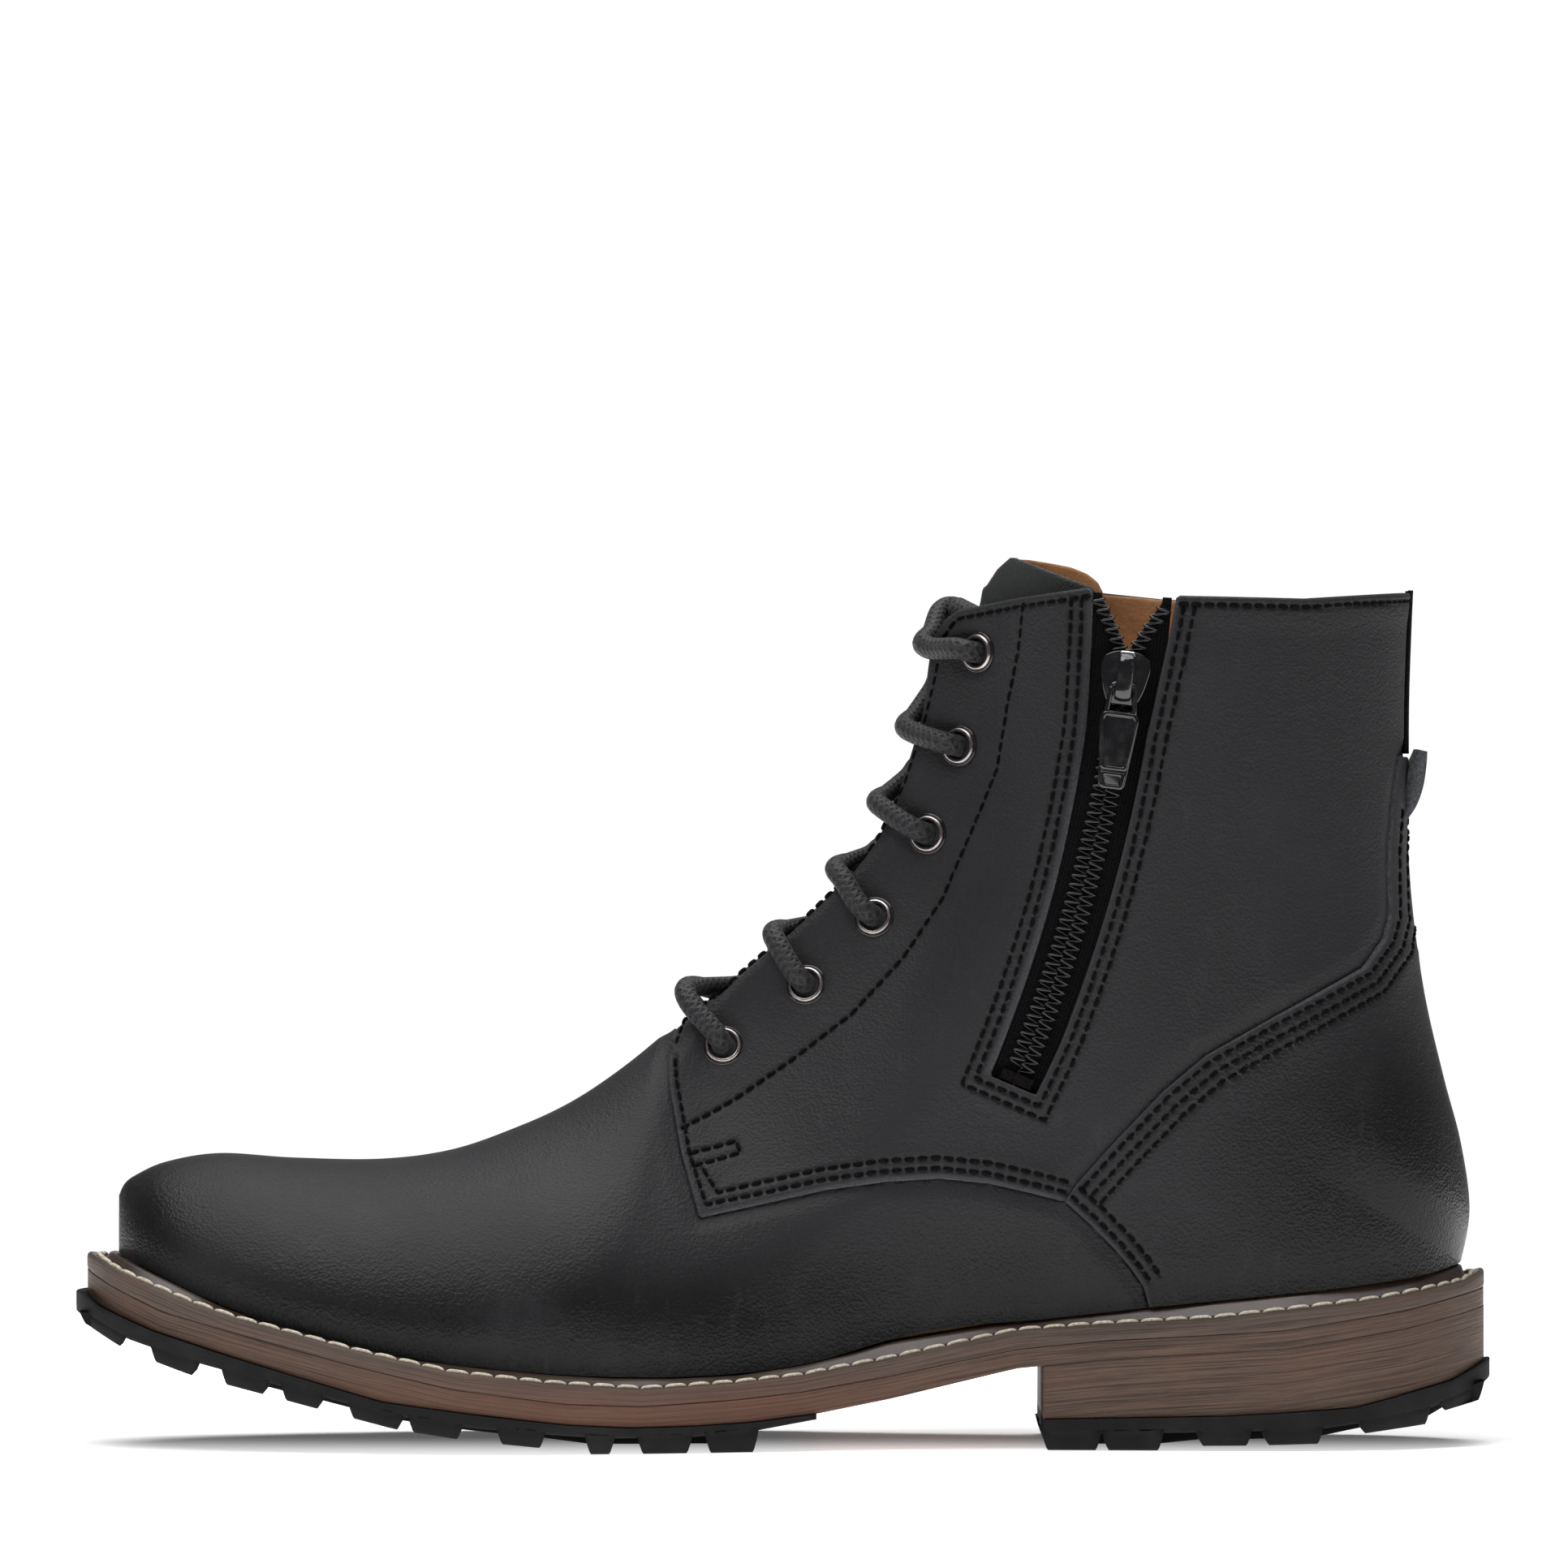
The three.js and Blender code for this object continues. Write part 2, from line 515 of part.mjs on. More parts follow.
function nailHole(x, y, radius, headRadius) {
  const top = along(MIDSOLE_TOP, x) + 1;
  const headZ = along(MIDSOLE_TOP, x) - 1.6;
  const bottom = headZ - 14;
  const grow = radius - 0.9;
  return turned([[0, bottom - grow], [radius, bottom - grow], [radius, headZ - grow],
    [headRadius, headZ - grow], [headRadius, top], [0, top]], 8).translate([x, y, 0]);
}
function nail(x, y) {
  const headZ = along(MIDSOLE_TOP, x) - 1.6;
  return turned([[0, headZ - 14], [0.9, headZ - 13], [0.9, headZ], [2.2, headZ], [2.2, headZ + 1.1],
    [0, headZ + 1.1]], 8).translate([x, y, 0]);
}

let midsole = soleSlab(0.2, MIDSOLE_TOP, MIDSOLE_BOTTOM, SOLE_TOE_X - 1, SOLE_HEEL_X + 1, -GAP / 2, 0);
let stack = soleSlab(-0.8, MIDSOLE_BOTTOM, STACK_BOTTOM, HEEL_BREAST_X, 153.8, -GAP, 0);
NAIL_PLACES.forEach(([x, y], i) => {
  const hole = nailHole(x, y, 1.25, 2.6);
  midsole = midsole.subtract(hole);
  stack = stack.subtract(hole);
  add(`heel_nail_${i + 1}`, nail(x, y), steel);
});
add('midsole', midsole, stackedLeather);
add('heel_stack', stack, stackedLeather);

const weltHole = planPrism(soleOutline(WELT_WIDTH), -5, 60);
const welt = soleSlab(0, WELT_TOP, MIDSOLE_TOP, SOLE_TOE_X - 1, SOLE_HEEL_X + 1, 0, GAP / 2)
  .add(soleSlab(BEAD_INSET, FEATHER, MIDSOLE_TOP, SOLE_TOE_X - 1, SOLE_HEEL_X + 1, -0.6, GAP / 2))
  .subtract(weltHole);
add('welt', welt, stackedLeather);

const SHANK = { from: -5, to: 92, halfWidth: 7, thickness: 1.4 };
const shankBand = (grow) => {
  const xs = [SHANK.from - grow, 20, 50, SHANK.to + grow];
  const floor = (x) => along(MIDSOLE_TOP, x) + GAP / 2;
  return [...xs.map((x) => [x, floor(x) + (grow ? -1 : 0.2)]),
    ...xs.reverse().map((x) => [x, floor(x) + 0.2 + SHANK.thickness + grow])];
};
add('shank', sidePrism(shankBand(0), 3 - SHANK.halfWidth, 3 + SHANK.halfWidth), steel);
add('cork_filler', soleSlab(WELT_WIDTH + 0.5, FEATHER, MIDSOLE_TOP, -128, 138, -GAP, GAP)
  .subtract(sidePrism(shankBand(0.4), 2.6 - SHANK.halfWidth, 3.4 + SHANK.halfWidth)), cork);
add('insole_board', soleSlab(12.4, FEATHER, FEATHER, -141, 144, 2.4, 0.1), board);
add('footbed', soleSlab(13.2, FEATHER, FEATHER, -140, 143, 5.4, 2.8), tanLeather);

function seamThread() {
  // One closed thread loop on the welt, made as a ring of eight-sided rods.
  const path = soleOutline(2.6, 32).map(([x, y]) => new THREE.Vector3(x, y, along(WELT_TOP, x) + 0.95));
  const sides = 4;
  const positions = [];
  const triangles = [];
  path.forEach((p, i) => {
    const next = path[(i + 1) % path.length];
    const prev = path[(i + path.length - 1) % path.length];
    const forward = next.clone().sub(prev).normalize();
    const across = new THREE.Vector3(0, 0, 1).cross(forward).normalize();
    const up = new THREE.Vector3().crossVectors(forward, across);
    for (let k = 0; k < sides; k += 1) {
      const turn = (2 * Math.PI * k) / sides;
      const q = p.clone()
        .addScaledVector(across, 0.5 * Math.cos(turn))
        .addScaledVector(up, 0.4 * Math.sin(turn));
      positions.push(q.x, q.y, q.z);
    }
  });
  path.forEach((_, i) => {
    for (let k = 0; k < sides; k += 1) {
      const a = i * sides + k;
      const b = i * sides + ((k + 1) % sides);
      const c = ((i + 1) % path.length) * sides + ((k + 1) % sides);
      const d = ((i + 1) % path.length) * sides + k;
      triangles.push(a, c, b, a, d, c);
    }
  });
  return closedSolid(positions, triangles);
}
add('welt_stitching', seamThread(), ivoryThread);

// ---- Panels of the upper ----
function offsetLine(points, distance) {
  // The open line moved to its left by distance.
  return points.map(([x, z], i) => {
    const [xa, za] = points[Math.max(i - 1, 0)];
    const [xb, zb] = points[Math.min(i + 1, points.length - 1)];
    const run = Math.hypot(xb - xa, zb - za);
    return [x - (distance * (zb - za)) / run, z + (distance * (xb - xa)) / run];
  });
}
const quarterEdge = [...QUARTER_FRONT, ...QUARTER_BOTTOM, COUNTER_CORNER];
const quarterOutline = [
  ...quarterEdge, ...COUNTER_TOP, [150, 149.5], ...COLLAR_REAR, ...COLLAR_FRONT, [-45, 110],
];
const vampOutline = [
  [-160, 20], [-160, 100], [-26, 100], ...offsetLine(quarterEdge, -GAP).map(([x, z]) => [x, z]),
  ...offsetLine(COUNTER_FRONT, -GAP).slice(1), [79, 0], [-160, 0],
];
const counterOutline = [
  ...offsetLine(COUNTER_FRONT, GAP / 2).reverse(), ...offsetLine(COUNTER_TOP, -GAP),
  [160, 149.2], [160, 0], [80, 0],
];

const zipAxes = (degrees) => {
  // The zip's frame at an angle below its centre: x along the radius, y up the zip, z out of the boot.
  const turn = THREE.MathUtils.degToRad(degrees);
  const normal = new THREE.Vector3(0, -1, -ZIP_LEAN).normalize();
  const x = ZIP_CENTRE[0] + ZIP_RADIUS * Math.cos(turn);
  const z = ZIP_CENTRE[1] - ZIP_RADIUS * Math.sin(turn);
  const radial = new THREE.Vector3(Math.cos(turn), 0, -Math.sin(turn));
  radial.addScaledVector(normal, -radial.dot(normal)).normalize();
  const up = new THREE.Vector3().crossVectors(normal, radial);
  const origin = new THREE.Vector3(x, zipPlane(z) + TAPE_DEPTH, z);
  return { origin, radial, up, normal };
};
const zipMatrix = (degrees) => {
  const { origin, radial, up, normal } = zipAxes(degrees);
  return frameMatrix(origin, radial, up, normal);
};
const arcPoint = (degrees, offset) => {
  const turn = THREE.MathUtils.degToRad(degrees);
  const radius = ZIP_RADIUS + offset;
  return [ZIP_CENTRE[0] + radius * Math.cos(turn), ZIP_CENTRE[1] - radius * Math.sin(turn)];
};
const spread = (from, to, count) => Array.from({ length: count + 1 }, (_, i) => lerp(from, to, i / count));
const slotOutline = (grow, top) => [
  ...spread(top, ZIP_BOTTOM + grow * 0.17, 8).map((d) => arcPoint(d, -along(SLOT_FRONT, d) - grow)),
  ...spread(ZIP_BOTTOM + grow * 0.17, top, 8).map((d) => arcPoint(d, along(SLOT_REAR, d) + grow)),
];
const slot = (grow) => sidePrism(slotOutline(grow, 1), -FAR, -8);

function bandSolid(from, to, inner, outer, low, high, count = 12) {
  // A strip along the zip between two radial offsets (numbers or functions of the angle) and two heights.
  const value = (v, d) => (typeof v === 'function' ? v(d) : v);
  const positions = [];
  const triangles = [];
  const stations = spread(from, to, count);
  stations.forEach((d) => {
    const { origin, radial, normal } = zipAxes(d);
    [[inner, low], [outer, low], [outer, high], [inner, high]].forEach(([r, n]) => {
      const p = origin.clone().addScaledVector(radial, value(r, d)).addScaledVector(normal, n);
      positions.push(p.x, p.y, p.z);
    });
  });
  for (let i = 0; i < count; i += 1) {
    for (let k = 0; k < 4; k += 1) {
      const a = i * 4 + k;
      const b = i * 4 + ((k + 1) % 4);
      triangles.push(a, b, b + 4, a, b + 4, a + 4);
    }
  }
  const e = count * 4;
  triangles.push(0, 2, 1, 0, 3, 2, e, e + 1, e + 2, e, e + 2, e + 3);
  return closedSolid(positions, triangles);
}

const zipPocket = bandSolid(1, ZIP_BOTTOM + 1.9, -TAPE_WIDTH - GAP, TAPE_WIDTH + GAP, -2.6, GAP);
const leather = layer(LEATHER);
const throat = sidePrism([[-23.3, 70], [-60, 120], [20, 220], [60, 220], [60, 190], [44, 150], [12, 96]],
  -THROAT, THROAT);
const eyeletFrames = [];
EYELETS.forEach(([x, z], i) => {
  [-1, 1].forEach((side) => {
    eyeletFrames.push({ name: `eyelet_${side < 0 ? 'medial' : 'lateral'}_${i + 1}`, side, index: i,
      frame: surfaceFrame(x, z, side) });
  });
});
const eyeletSeat = turned([
  [0, -8], [EYELET_OUTER, -8], [EYELET_OUTER, EYELET_BACK + 0.75], [EYELET_HOLE, EYELET_BACK + 0.75],
  [EYELET_HOLE, 0], [EYELET_OUTER + GAP, 0], [EYELET_OUTER + GAP, 4], [0, 4]], EYELET_FACES);
const eyeletHoles = (side) => eyeletFrames.filter((e) => e.side === side)
  .map((e) => placed(eyeletSeat, outwardMatrix(e.frame)));
const drilled = (solid, side) => eyeletHoles(side).reduce((s, hole) => s.subtract(hole), solid);

const tapeSlot = sidePrism([[133, 150.4], [150, 150.4], [150, 200], [133, 200]], -6.6, 6.6);
add('vamp', leather.intersect(sidePrism(vampOutline, -FAR, FAR)), blackLeather);
const quarters = leather.intersect(sidePrism(quarterOutline, -FAR, FAR)).subtract(throat);
const medialHalf = sidePrism([[-60, 0], [160, 0], [160, 220], [-60, 220]], -FAR, -GAP / 2);
const lateralHalf = sidePrism([[-60, 0], [160, 0], [160, 220], [-60, 220]], GAP / 2, FAR);
add('quarter_medial', drilled(quarters.intersect(medialHalf).subtract(slot(0)).subtract(zipPocket), -1),
  blackLeather);
add('quarter_lateral', drilled(quarters.intersect(lateralHalf), 1), blackLeather);

// The counter cover carries the pull tab: a tongue of leather that stands away from the back seam.
const TAB = [
  [134.4, 137], [137.5, 136], [138.6, 139.2], [139.9, 145.3], [140.3, 150.7], [138.3, 151.2], [137.4, 146],
  [136, 143.5],
];
const tab = sidePrism(TAB, -8.5, 8.5);
add('counter_cover', leather.intersect(sidePrism(counterOutline, -FAR, FAR))
  .subtract(sidePrism([[120, 143.5], [136.6, 143.5], [138, 151.4], [138, 160], [120, 160]], -9.5, 9.5))
  .add(tab), blackLeather);
const tapeLayer = upperShell((a, u) => upperPoint(a, u, -0.95), (a, u) => upperPoint(a, u, -0.35),
  rowsFrom(20, 26), 10);
const tapeShape = sidePrism([[128, 152.4], [150, 152.4], [150, 186], [128, 186]], -6.5, 6.5);
add('back_tape', tapeLayer.intersect(tapeShape), blackNylon);

const TOE_PUFF_OUTLINE = [[-160, 0], [-98, 0], [-100, 30], [-106, 80], [-160, 80]];
const stiffener = layer(STIFFENER);
add('toe_puff', stiffener.intersect(sidePrism(TOE_PUFF_OUTLINE, -FAR, FAR)), board);
const HEEL_COUNTER_OUTLINE = [[92, 25], [96, 60], [104, 80], [118, 92], [160, 96], [160, 25]];
add('heel_counter', stiffener.intersect(sidePrism(HEEL_COUNTER_OUTLINE, -FAR, FAR)), board);

const lining = layer(LINING);
const LINING_SPLIT = [[-24, 120], [-20, 60], [-8, 15]];
const frontLining = [[-160, 0], [-160, 120], ...LINING_SPLIT, [-8, 0]];
const rearLining = [
  ...offsetLine(LINING_SPLIT, GAP), [-6, 0], [160, 0], ...COLLAR_REAR.map(([x, z]) => [x + 5, z - 0.4]),
  ...COLLAR_FRONT.map(([x, z]) => [x, z - 0.4]),
];
add('vamp_lining', lining.intersect(sidePrism(frontLining, -FAR, FAR)), tanLeather);
const linings = lining.intersect(sidePrism(rearLining, -FAR, FAR)).subtract(throat);
const medialLining = linings.intersect(medialHalf).subtract(slot(1.2)).subtract(zipPocket);
add('quarter_lining_medial', drilled(medialLining, -1), tanLeather);
add('quarter_lining_lateral', drilled(linings.intersect(lateralHalf), 1), tanLeather);

// ---- Tongue ----
const tongueInset = (a, full) => lerp(5.1, full, smooth(9.8, 11.4, a));
const tongueSurface = (extra) => (a, u) => upperPoint(
  a, u * TONGUE_WRAP, tongueInset(a, TONGUE_SIDE) + 3 * smooth(20, 23, a) + extra,
  tongueInset(a, TONGUE_DEPTH) + extra);
const tongueRows = rowsFrom(9.8, 26);
const tongueShape = sidePrism(TONGUE_OUTLINE, -FAR, FAR)
  .subtract(sidePrism([[49.2, 192.8], [66.2, 186.3], [72, 180], [80, 200], [48, 200]], -FAR, -1));
const tongueLayer = (top, under) => upperShell(tongueSurface(top), tongueSurface(under), tongueRows, 6)
  .intersect(tongueShape);
add('tongue', tongueLayer(0, 1.4), blackLeather);
add('tongue_lining', tongueLayer(1.75, 2.5), tanLeather);

// ---- Zip ----
const slit = TAPE_SLIT / 2;
const spreadAbove = (d) => 2.2 * (1 - smooth(ZIP_TOP, ZIP_REST - 0.6, d));
[['front', -1], ['rear', 1]].forEach(([name, side]) => {
  const near = (d) => side * (slit + spreadAbove(d));
  const far = (d) => side * (slit + COIL_WIDTH + spreadAbove(d));
  add(`zip_tape_${name}`, bandSolid(ZIP_TOP, ZIP_BOTTOM + 1.4, near, side * TAPE_WIDTH, -TAPE_THICKNESS, 0),
    blackNylon);
  add(`zip_coil_${name}`, bandSolid(ZIP_TOP + 0.3, ZIP_BOTTOM - 0.6, near, far, 0.3, COIL_HEIGHT),
    blackNylon);
});
add('zip_bottom_stop', bandSolid(ZIP_BOTTOM - 0.5, ZIP_BOTTOM - 0.1, -3.6, 3.6, GAP, 1.9, 2), gunmetal);

function box(x0, x1, y0, y1, z0, z1) {
  const geometry = new THREE.BoxGeometry(x1 - x0, y1 - y0, z1 - z0);
  geometry.translate((x0 + x1) / 2, (y0 + y1) / 2, (z0 + z1) / 2);
  return solidOf(geometry);
}
const SLIDER_PLAN = [[-4, -5.8], [4, -5.8], [4.6, -2], [5.4, 2.4], [4.6, 5.2], [2, 5.8], [-2, 5.8],
  [-4.6, 5.2], [-5.4, 2.4], [-4.6, -2]];
const plate = planPrism(SLIDER_PLAN, 2.1, 2.9);
const flanges = planPrism(SLIDER_PLAN, 0.4, 2.2).subtract(box(-4.35, 4.35, -9, 9, 0, 3));
const underPlate = planPrism(SLIDER_PLAN.map(([x, y]) => [x * 0.8, y]), -2.1, -1.1);
const post = box(-slit * 0.55, slit * 0.55, 3.2, 5.2, -1.6, 2.5);
const bridge = box(-1.1, 1.1, -4.6, 4.6, 2.8, 5.4).subtract(box(-2, 2, -3.4, 3.4, 2.95, 4.7));
add('zip_slider', placed(plate.add(flanges).add(underPlate).add(post).add(bridge), zipMatrix(ZIP_REST)),
  blackEnamel);
const PULL_PIVOT = [-1.6, 3.9];
const pullFrame = box(-2.6, 2.6, PULL_PIVOT[0] - 0.5, PULL_PIVOT[0] + 0.5, 3.4, 4.4)
  .add(box(-2.6, -1.5, -8, PULL_PIVOT[0] + 0.5, 3.4, 4.4))
  .add(box(1.5, 2.6, -8, PULL_PIVOT[0] + 0.5, 3.4, 4.4));
const pullPlate = planPrism([[-4.3, -7.2], [-3.4, -6.4], [3.4, -6.4], [4.3, -7.2], [3.4, -23.5], [2.7, -24.2],
  [-2.7, -24.2], [-3.4, -23.5]], 3.3, 4.5).subtract(box(-1.8, 1.8, -22.6, -20, 2, 6));
add('zip_pull', placed(pullFrame.add(pullPlate), zipMatrix(ZIP_REST)), blackEnamel);

// ---- Eyelets and lace ----
eyeletFrames.forEach(({ name, frame }) => {
  const ring = turned([
    [EYELET_BORE, EYELET_BACK], [EYELET_OUTER - 0.7, EYELET_BACK], [EYELET_BARREL, EYELET_BACK + 0.5],
    [EYELET_BARREL, GAP], [EYELET_OUTER, GAP], [EYELET_OUTER - 0.4, 0.95], [EYELET_BORE, 0.95],
  ], EYELET_FACES);
  add(name, placed(ring, outwardMatrix(frame)), gunmetal);
});

// The lace is followed in the boot's lacing coordinates: a level from 0 (first eyelets) to 5 (last eyelets),
// a distance forwards from the row of eyelets, and y.
function lacingPlace(level, forward, y) {
  const i = clamp(Math.floor(level), 0, EYELETS.length - 2);
  const at = (k) => lerp(EYELETS[i][k], EYELETS[i + 1][k], level - i);
  const before = EYELETS[Math.max(i - 1, 0)];
  const after = EYELETS[Math.min(i + 2, EYELETS.length - 1)];
  const tangent = [0, 1].map((k) => lerp(
    EYELETS[i + 1][k] - before[k], after[k] - EYELETS[i][k], clamp(level - i)));
  const run = Math.hypot(...tangent);
  return new THREE.Vector3(
    at(0) - (forward * tangent[1]) / run, y, at(1) + (forward * tangent[0]) / run);
}
const frameOf = (side, i) => eyeletFrames.find((e) => e.side === side && e.index === i).frame;
const besideEyelet = (side, i, height, forward = 0) => {
  const { at, normal } = frameOf(side, i);
  const front = lacingPlace(i, 1, 0).sub(lacingPlace(i, 0, 0));
  front.addScaledVector(normal, -front.dot(normal)).normalize();
  return at.clone().addScaledVector(normal, height).addScaledVector(front, forward);
};

const underFacing = (side, i) =>
  besideEyelet(side, i, -7.1, 3.4).add(lacingPlace(i - 0.14, 0, 0)).sub(lacingPlace(i, 0, 0));

// How far each loop over the facing sits up the lacing and forwards of the common loop.
const LOOP_SHIFT = [[-0.1, 2.4], [-0.03, 0.8], [0.03, 0.5], [-0.05, 0.5], [-0.07, 0], [-0.13, -0.3]];

function overFacing(side, i) {
  const [rise, reach] = LOOP_SHIFT[i];
  return [
    besideEyelet(side, i, -6.9), besideEyelet(side, i, -4.8), besideEyelet(side, i, 1.6, 0.5),
    besideEyelet(side, i, 3, 3.6), lacingPlace(i + 0.08 + rise, 9.8 + 0.7 * reach, side * 13),
    lacingPlace(i + 0.13 + rise, 12.5 + reach, side * 9.7),
    lacingPlace(i + 0.25 + rise, 11 + reach, side * 6.2),
  ];
}

function crossing(side, i) {
  // Out of eyelet i, over its own facing and under the other one, to below eyelet i + 1.
  const under = side > 0;
  return [
    ...overFacing(side, i),
    lacingPlace(i + 0.5, under ? 4.6 : 8.2, 0),
    lacingPlace(i + 0.72, under ? 5 : 6.4, -side * 4.8),
    underFacing(-side, i + 1),
  ];
}
function tail(side) {
  // From the last eyelet over the facing and under the other one, then back along the lining.
  const last = EYELETS.length - 1;
  const inside = [[43, 174.5, 9.2], [49, 162, 8.4], [50, 151, 8]];
  return [
    ...overFacing(side, last), lacingPlace(last + 0.38, side > 0 ? 6 : 9.6, 0),
    lacingPlace(last + 0.42, 5.2, -side * 4.2),
    ...inside.map(([x, z, inset]) => surfaceFrame(x, z, -side, inset).at),
  ];
}

function rodAlong(points, radius, sides) {
  // A closed rod with one ring of vertices at each point.
  const positions = [];
  const triangles = [];
  let across = new THREE.Vector3(0, 0, 1);
  points.forEach((p, i) => {
    const next = points[Math.min(i + 1, points.length - 1)];
    const prev = points[Math.max(i - 1, 0)];
    const into = p.clone().sub(prev).normalize();
    const out = next.clone().sub(p).normalize();
    const forward = into.clone().add(out).normalize();
    across.addScaledVector(forward, -across.dot(forward)).normalize();
    const up = new THREE.Vector3().crossVectors(forward, across);
    for (let k = 0; k < sides; k += 1) {
      const turn = (2 * Math.PI * k) / sides;
      const q = p.clone()
        .addScaledVector(across, radius * Math.cos(turn))
        .addScaledVector(up, radius * Math.sin(turn));
      positions.push(q.x, q.y, q.z);
    }
  });
  for (let i = 0; i < points.length - 1; i += 1) {
    for (let k = 0; k < sides; k += 1) {
      const a = i * sides + k;
      const b = i * sides + ((k + 1) % sides);
      triangles.push(a, b, b + sides, a, b + sides, a + sides);
    }
  }
  const e = (points.length - 1) * sides;
  for (let k = 1; k < sides - 1; k += 1) triangles.push(0, k + 1, k, e, e + k, e + k + 1);
  return closedSolid(positions, triangles);
}

const half = (first) => {
  // One half of the lace, from the bottom bar to a tail.
  const points = [];
  let side = first;
  EYELETS.slice(0, -1).forEach((_, i) => {
    points.push(...crossing(side, i));
    side = -side;
  });
  return [...points, ...tail(side)];
};
const bottomBar = [lacingPlace(-0.12, 3.4, -5.6), lacingPlace(-0.2, 6.4, 0), lacingPlace(-0.12, 3.4, 5.6)];
const laceRoute = [...half(-1).reverse(), ...bottomBar, ...half(1)];
const laceLength = laceRoute.slice(1).reduce((sum, p, i) => sum + p.distanceTo(laceRoute[i]), 0);
add('lace', rodAlong(laceRoute, LACE_RADIUS, 8), blackNylon);
[['aglet_1', laceRoute], ['aglet_2', [...laceRoute].reverse()]].forEach(([name, route]) => {
  const out = route[0].clone().sub(route[1]).normalize();
  const from = route[0].clone().addScaledVector(out, GAP);
  add(name, rodAlong([from, from.clone().addScaledVector(out, AGLET_LENGTH)], AGLET_RADIUS, 8), blackEnamel);
});

export { boot, eyeletFrames, laceRoute, laceLength };
export default boot;
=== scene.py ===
"""A right lace-up ankle boot with a side zip: the looks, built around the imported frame.

Lengths are in millimetres in the tables and the surface code, and in metres in the meshes.
+X points to the heel, -Y to the inner (medial) side, +Z up.
"""
import math

import bpy
import numpy as np
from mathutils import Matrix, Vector


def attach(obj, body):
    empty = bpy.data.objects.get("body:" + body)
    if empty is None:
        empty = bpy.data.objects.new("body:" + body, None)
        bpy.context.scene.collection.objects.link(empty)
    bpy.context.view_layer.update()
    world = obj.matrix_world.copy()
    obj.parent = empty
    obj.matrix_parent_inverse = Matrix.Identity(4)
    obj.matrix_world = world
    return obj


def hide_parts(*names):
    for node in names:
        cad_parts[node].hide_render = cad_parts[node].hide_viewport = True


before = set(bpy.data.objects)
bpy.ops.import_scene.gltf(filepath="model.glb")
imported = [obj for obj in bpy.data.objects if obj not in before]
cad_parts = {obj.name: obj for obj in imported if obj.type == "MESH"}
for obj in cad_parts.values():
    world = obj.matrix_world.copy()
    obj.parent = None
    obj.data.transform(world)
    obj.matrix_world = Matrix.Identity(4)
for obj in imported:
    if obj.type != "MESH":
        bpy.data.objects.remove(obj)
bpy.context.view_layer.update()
STEP = 1.2

# ---------------------------------------------------------------- dimensions

SOLE_TOE_X = -151.6
SOLE_HEEL_X = 152.7
SOLE_HALF_WIDTH = np.array([
    (-152, 82), (-140, 72), (-125, 67), (-100, 63), (-75, 60.8), (-50, 58), (-25, 53.3), (0, 46.8),
    (25, 41.3), (50, 39.6), (75, 42.7), (100, 50.2), (125, 61.7), (140, 67.5), (153, 70)])
SOLE_CENTRE = np.array([
    (-152, -8.7), (-140, -8.2), (-125, -6.5), (-100, -4.5), (-75, -2.5), (-50, 0), (-25, 2.8),
    (0, 5), (25, 4.6), (50, 2.8), (75, 1.1), (100, 0), (153, -0.7)])
WELT_TOP = np.array([
    (-152, 42.2), (-148.4, 41), (-143.8, 38.6), (-127.9, 32.2), (-118, 28.9), (-91.4, 22), (-71.1, 17.5),
    (-50.8, 15.2), (-30.4, 13.8), (-10.1, 14.9), (3.5, 16.2), (22.9, 19.8), (50.3, 25.7), (67.3, 27),
    (92.7, 28.5), (127.8, 32.5), (147.4, 35.8), (153, 38.5)])
FEATHER = np.array([
    (-147, 42.8), (-134.6, 37.4), (-120.8, 31.2), (-107, 26.3), (-93.2, 22.9), (-79.4, 20.1), (-65.6, 18.4),
    (-50.7, 17), (-37.2, 16.2), (-23.6, 16), (-10.1, 16.5), (3.5, 18.3), (14.9, 20.9), (23, 23.2),
    (44.1, 26.6), (58.1, 28.2), (80.6, 30.7), (102.1, 32.8), (123.5, 35.3), (137.7, 37.1), (150, 40)])
MIDSOLE_TOP = np.array([
    (-152, 38.7), (-145.7, 35.3), (-133.9, 29.9), (-118, 25.6), (-91.4, 18.6), (-71.1, 13.8), (-47.1, 10.7),
    (-30.4, 10), (-10.1, 11.2), (3.5, 12.6), (22.9, 15.9), (50.3, 21.6), (69.3, 23.5), (92.7, 24.8),
    (108.1, 25.8), (134.3, 29.9), (153, 34.1)])
MIDSOLE_BOTTOM = np.array([
    (-152, 33.7), (-148.3, 30.8), (-136.3, 25.9), (-118, 20.3), (-86.3, 11.2), (-65.6, 8.4), (-47.1, 6.3),
    (-33.6, 5.5), (-20, 5.7), (-6.5, 6.4), (7.1, 8), (23.7, 11.2), (50.3, 17.5), (69.3, 19.4),
    (92.7, 20.8), (108.1, 21.8), (134.3, 25.9), (153, 30.1)])
PLATE_BOTTOM = np.array([
    (-154, 29), (-149.8, 28.2), (-141.6, 24), (-127.8, 19.6), (-109.1, 14.8), (-83.3, 8.3), (-68.4, 5.9),
    (-50.7, 4.3), (-38.5, 3.4), (-20.2, 3.4), (-6, 4.6), (8, 7)])
LUG_BOTTOM = np.array([
    (-154, 28.6), (-149.8, 26), (-141.6, 21.4), (-127.8, 16.6), (-109.1, 12), (-83.3, 5.4), (-68.4, 3.1),
    (-52, 1.4), (-42, 0), (-6, 0)])
FOREFOOT_LUGS = [
    (-151.5, -143), (-135.5, -127), (-120, -111.6), (-107, -99.8), (-92.5, -82.6), (-79.6, -69.8),
    (-60.6, -52.1), (-41.7, -37.2), (-30.5, -20.6), (-16, -6.4)]
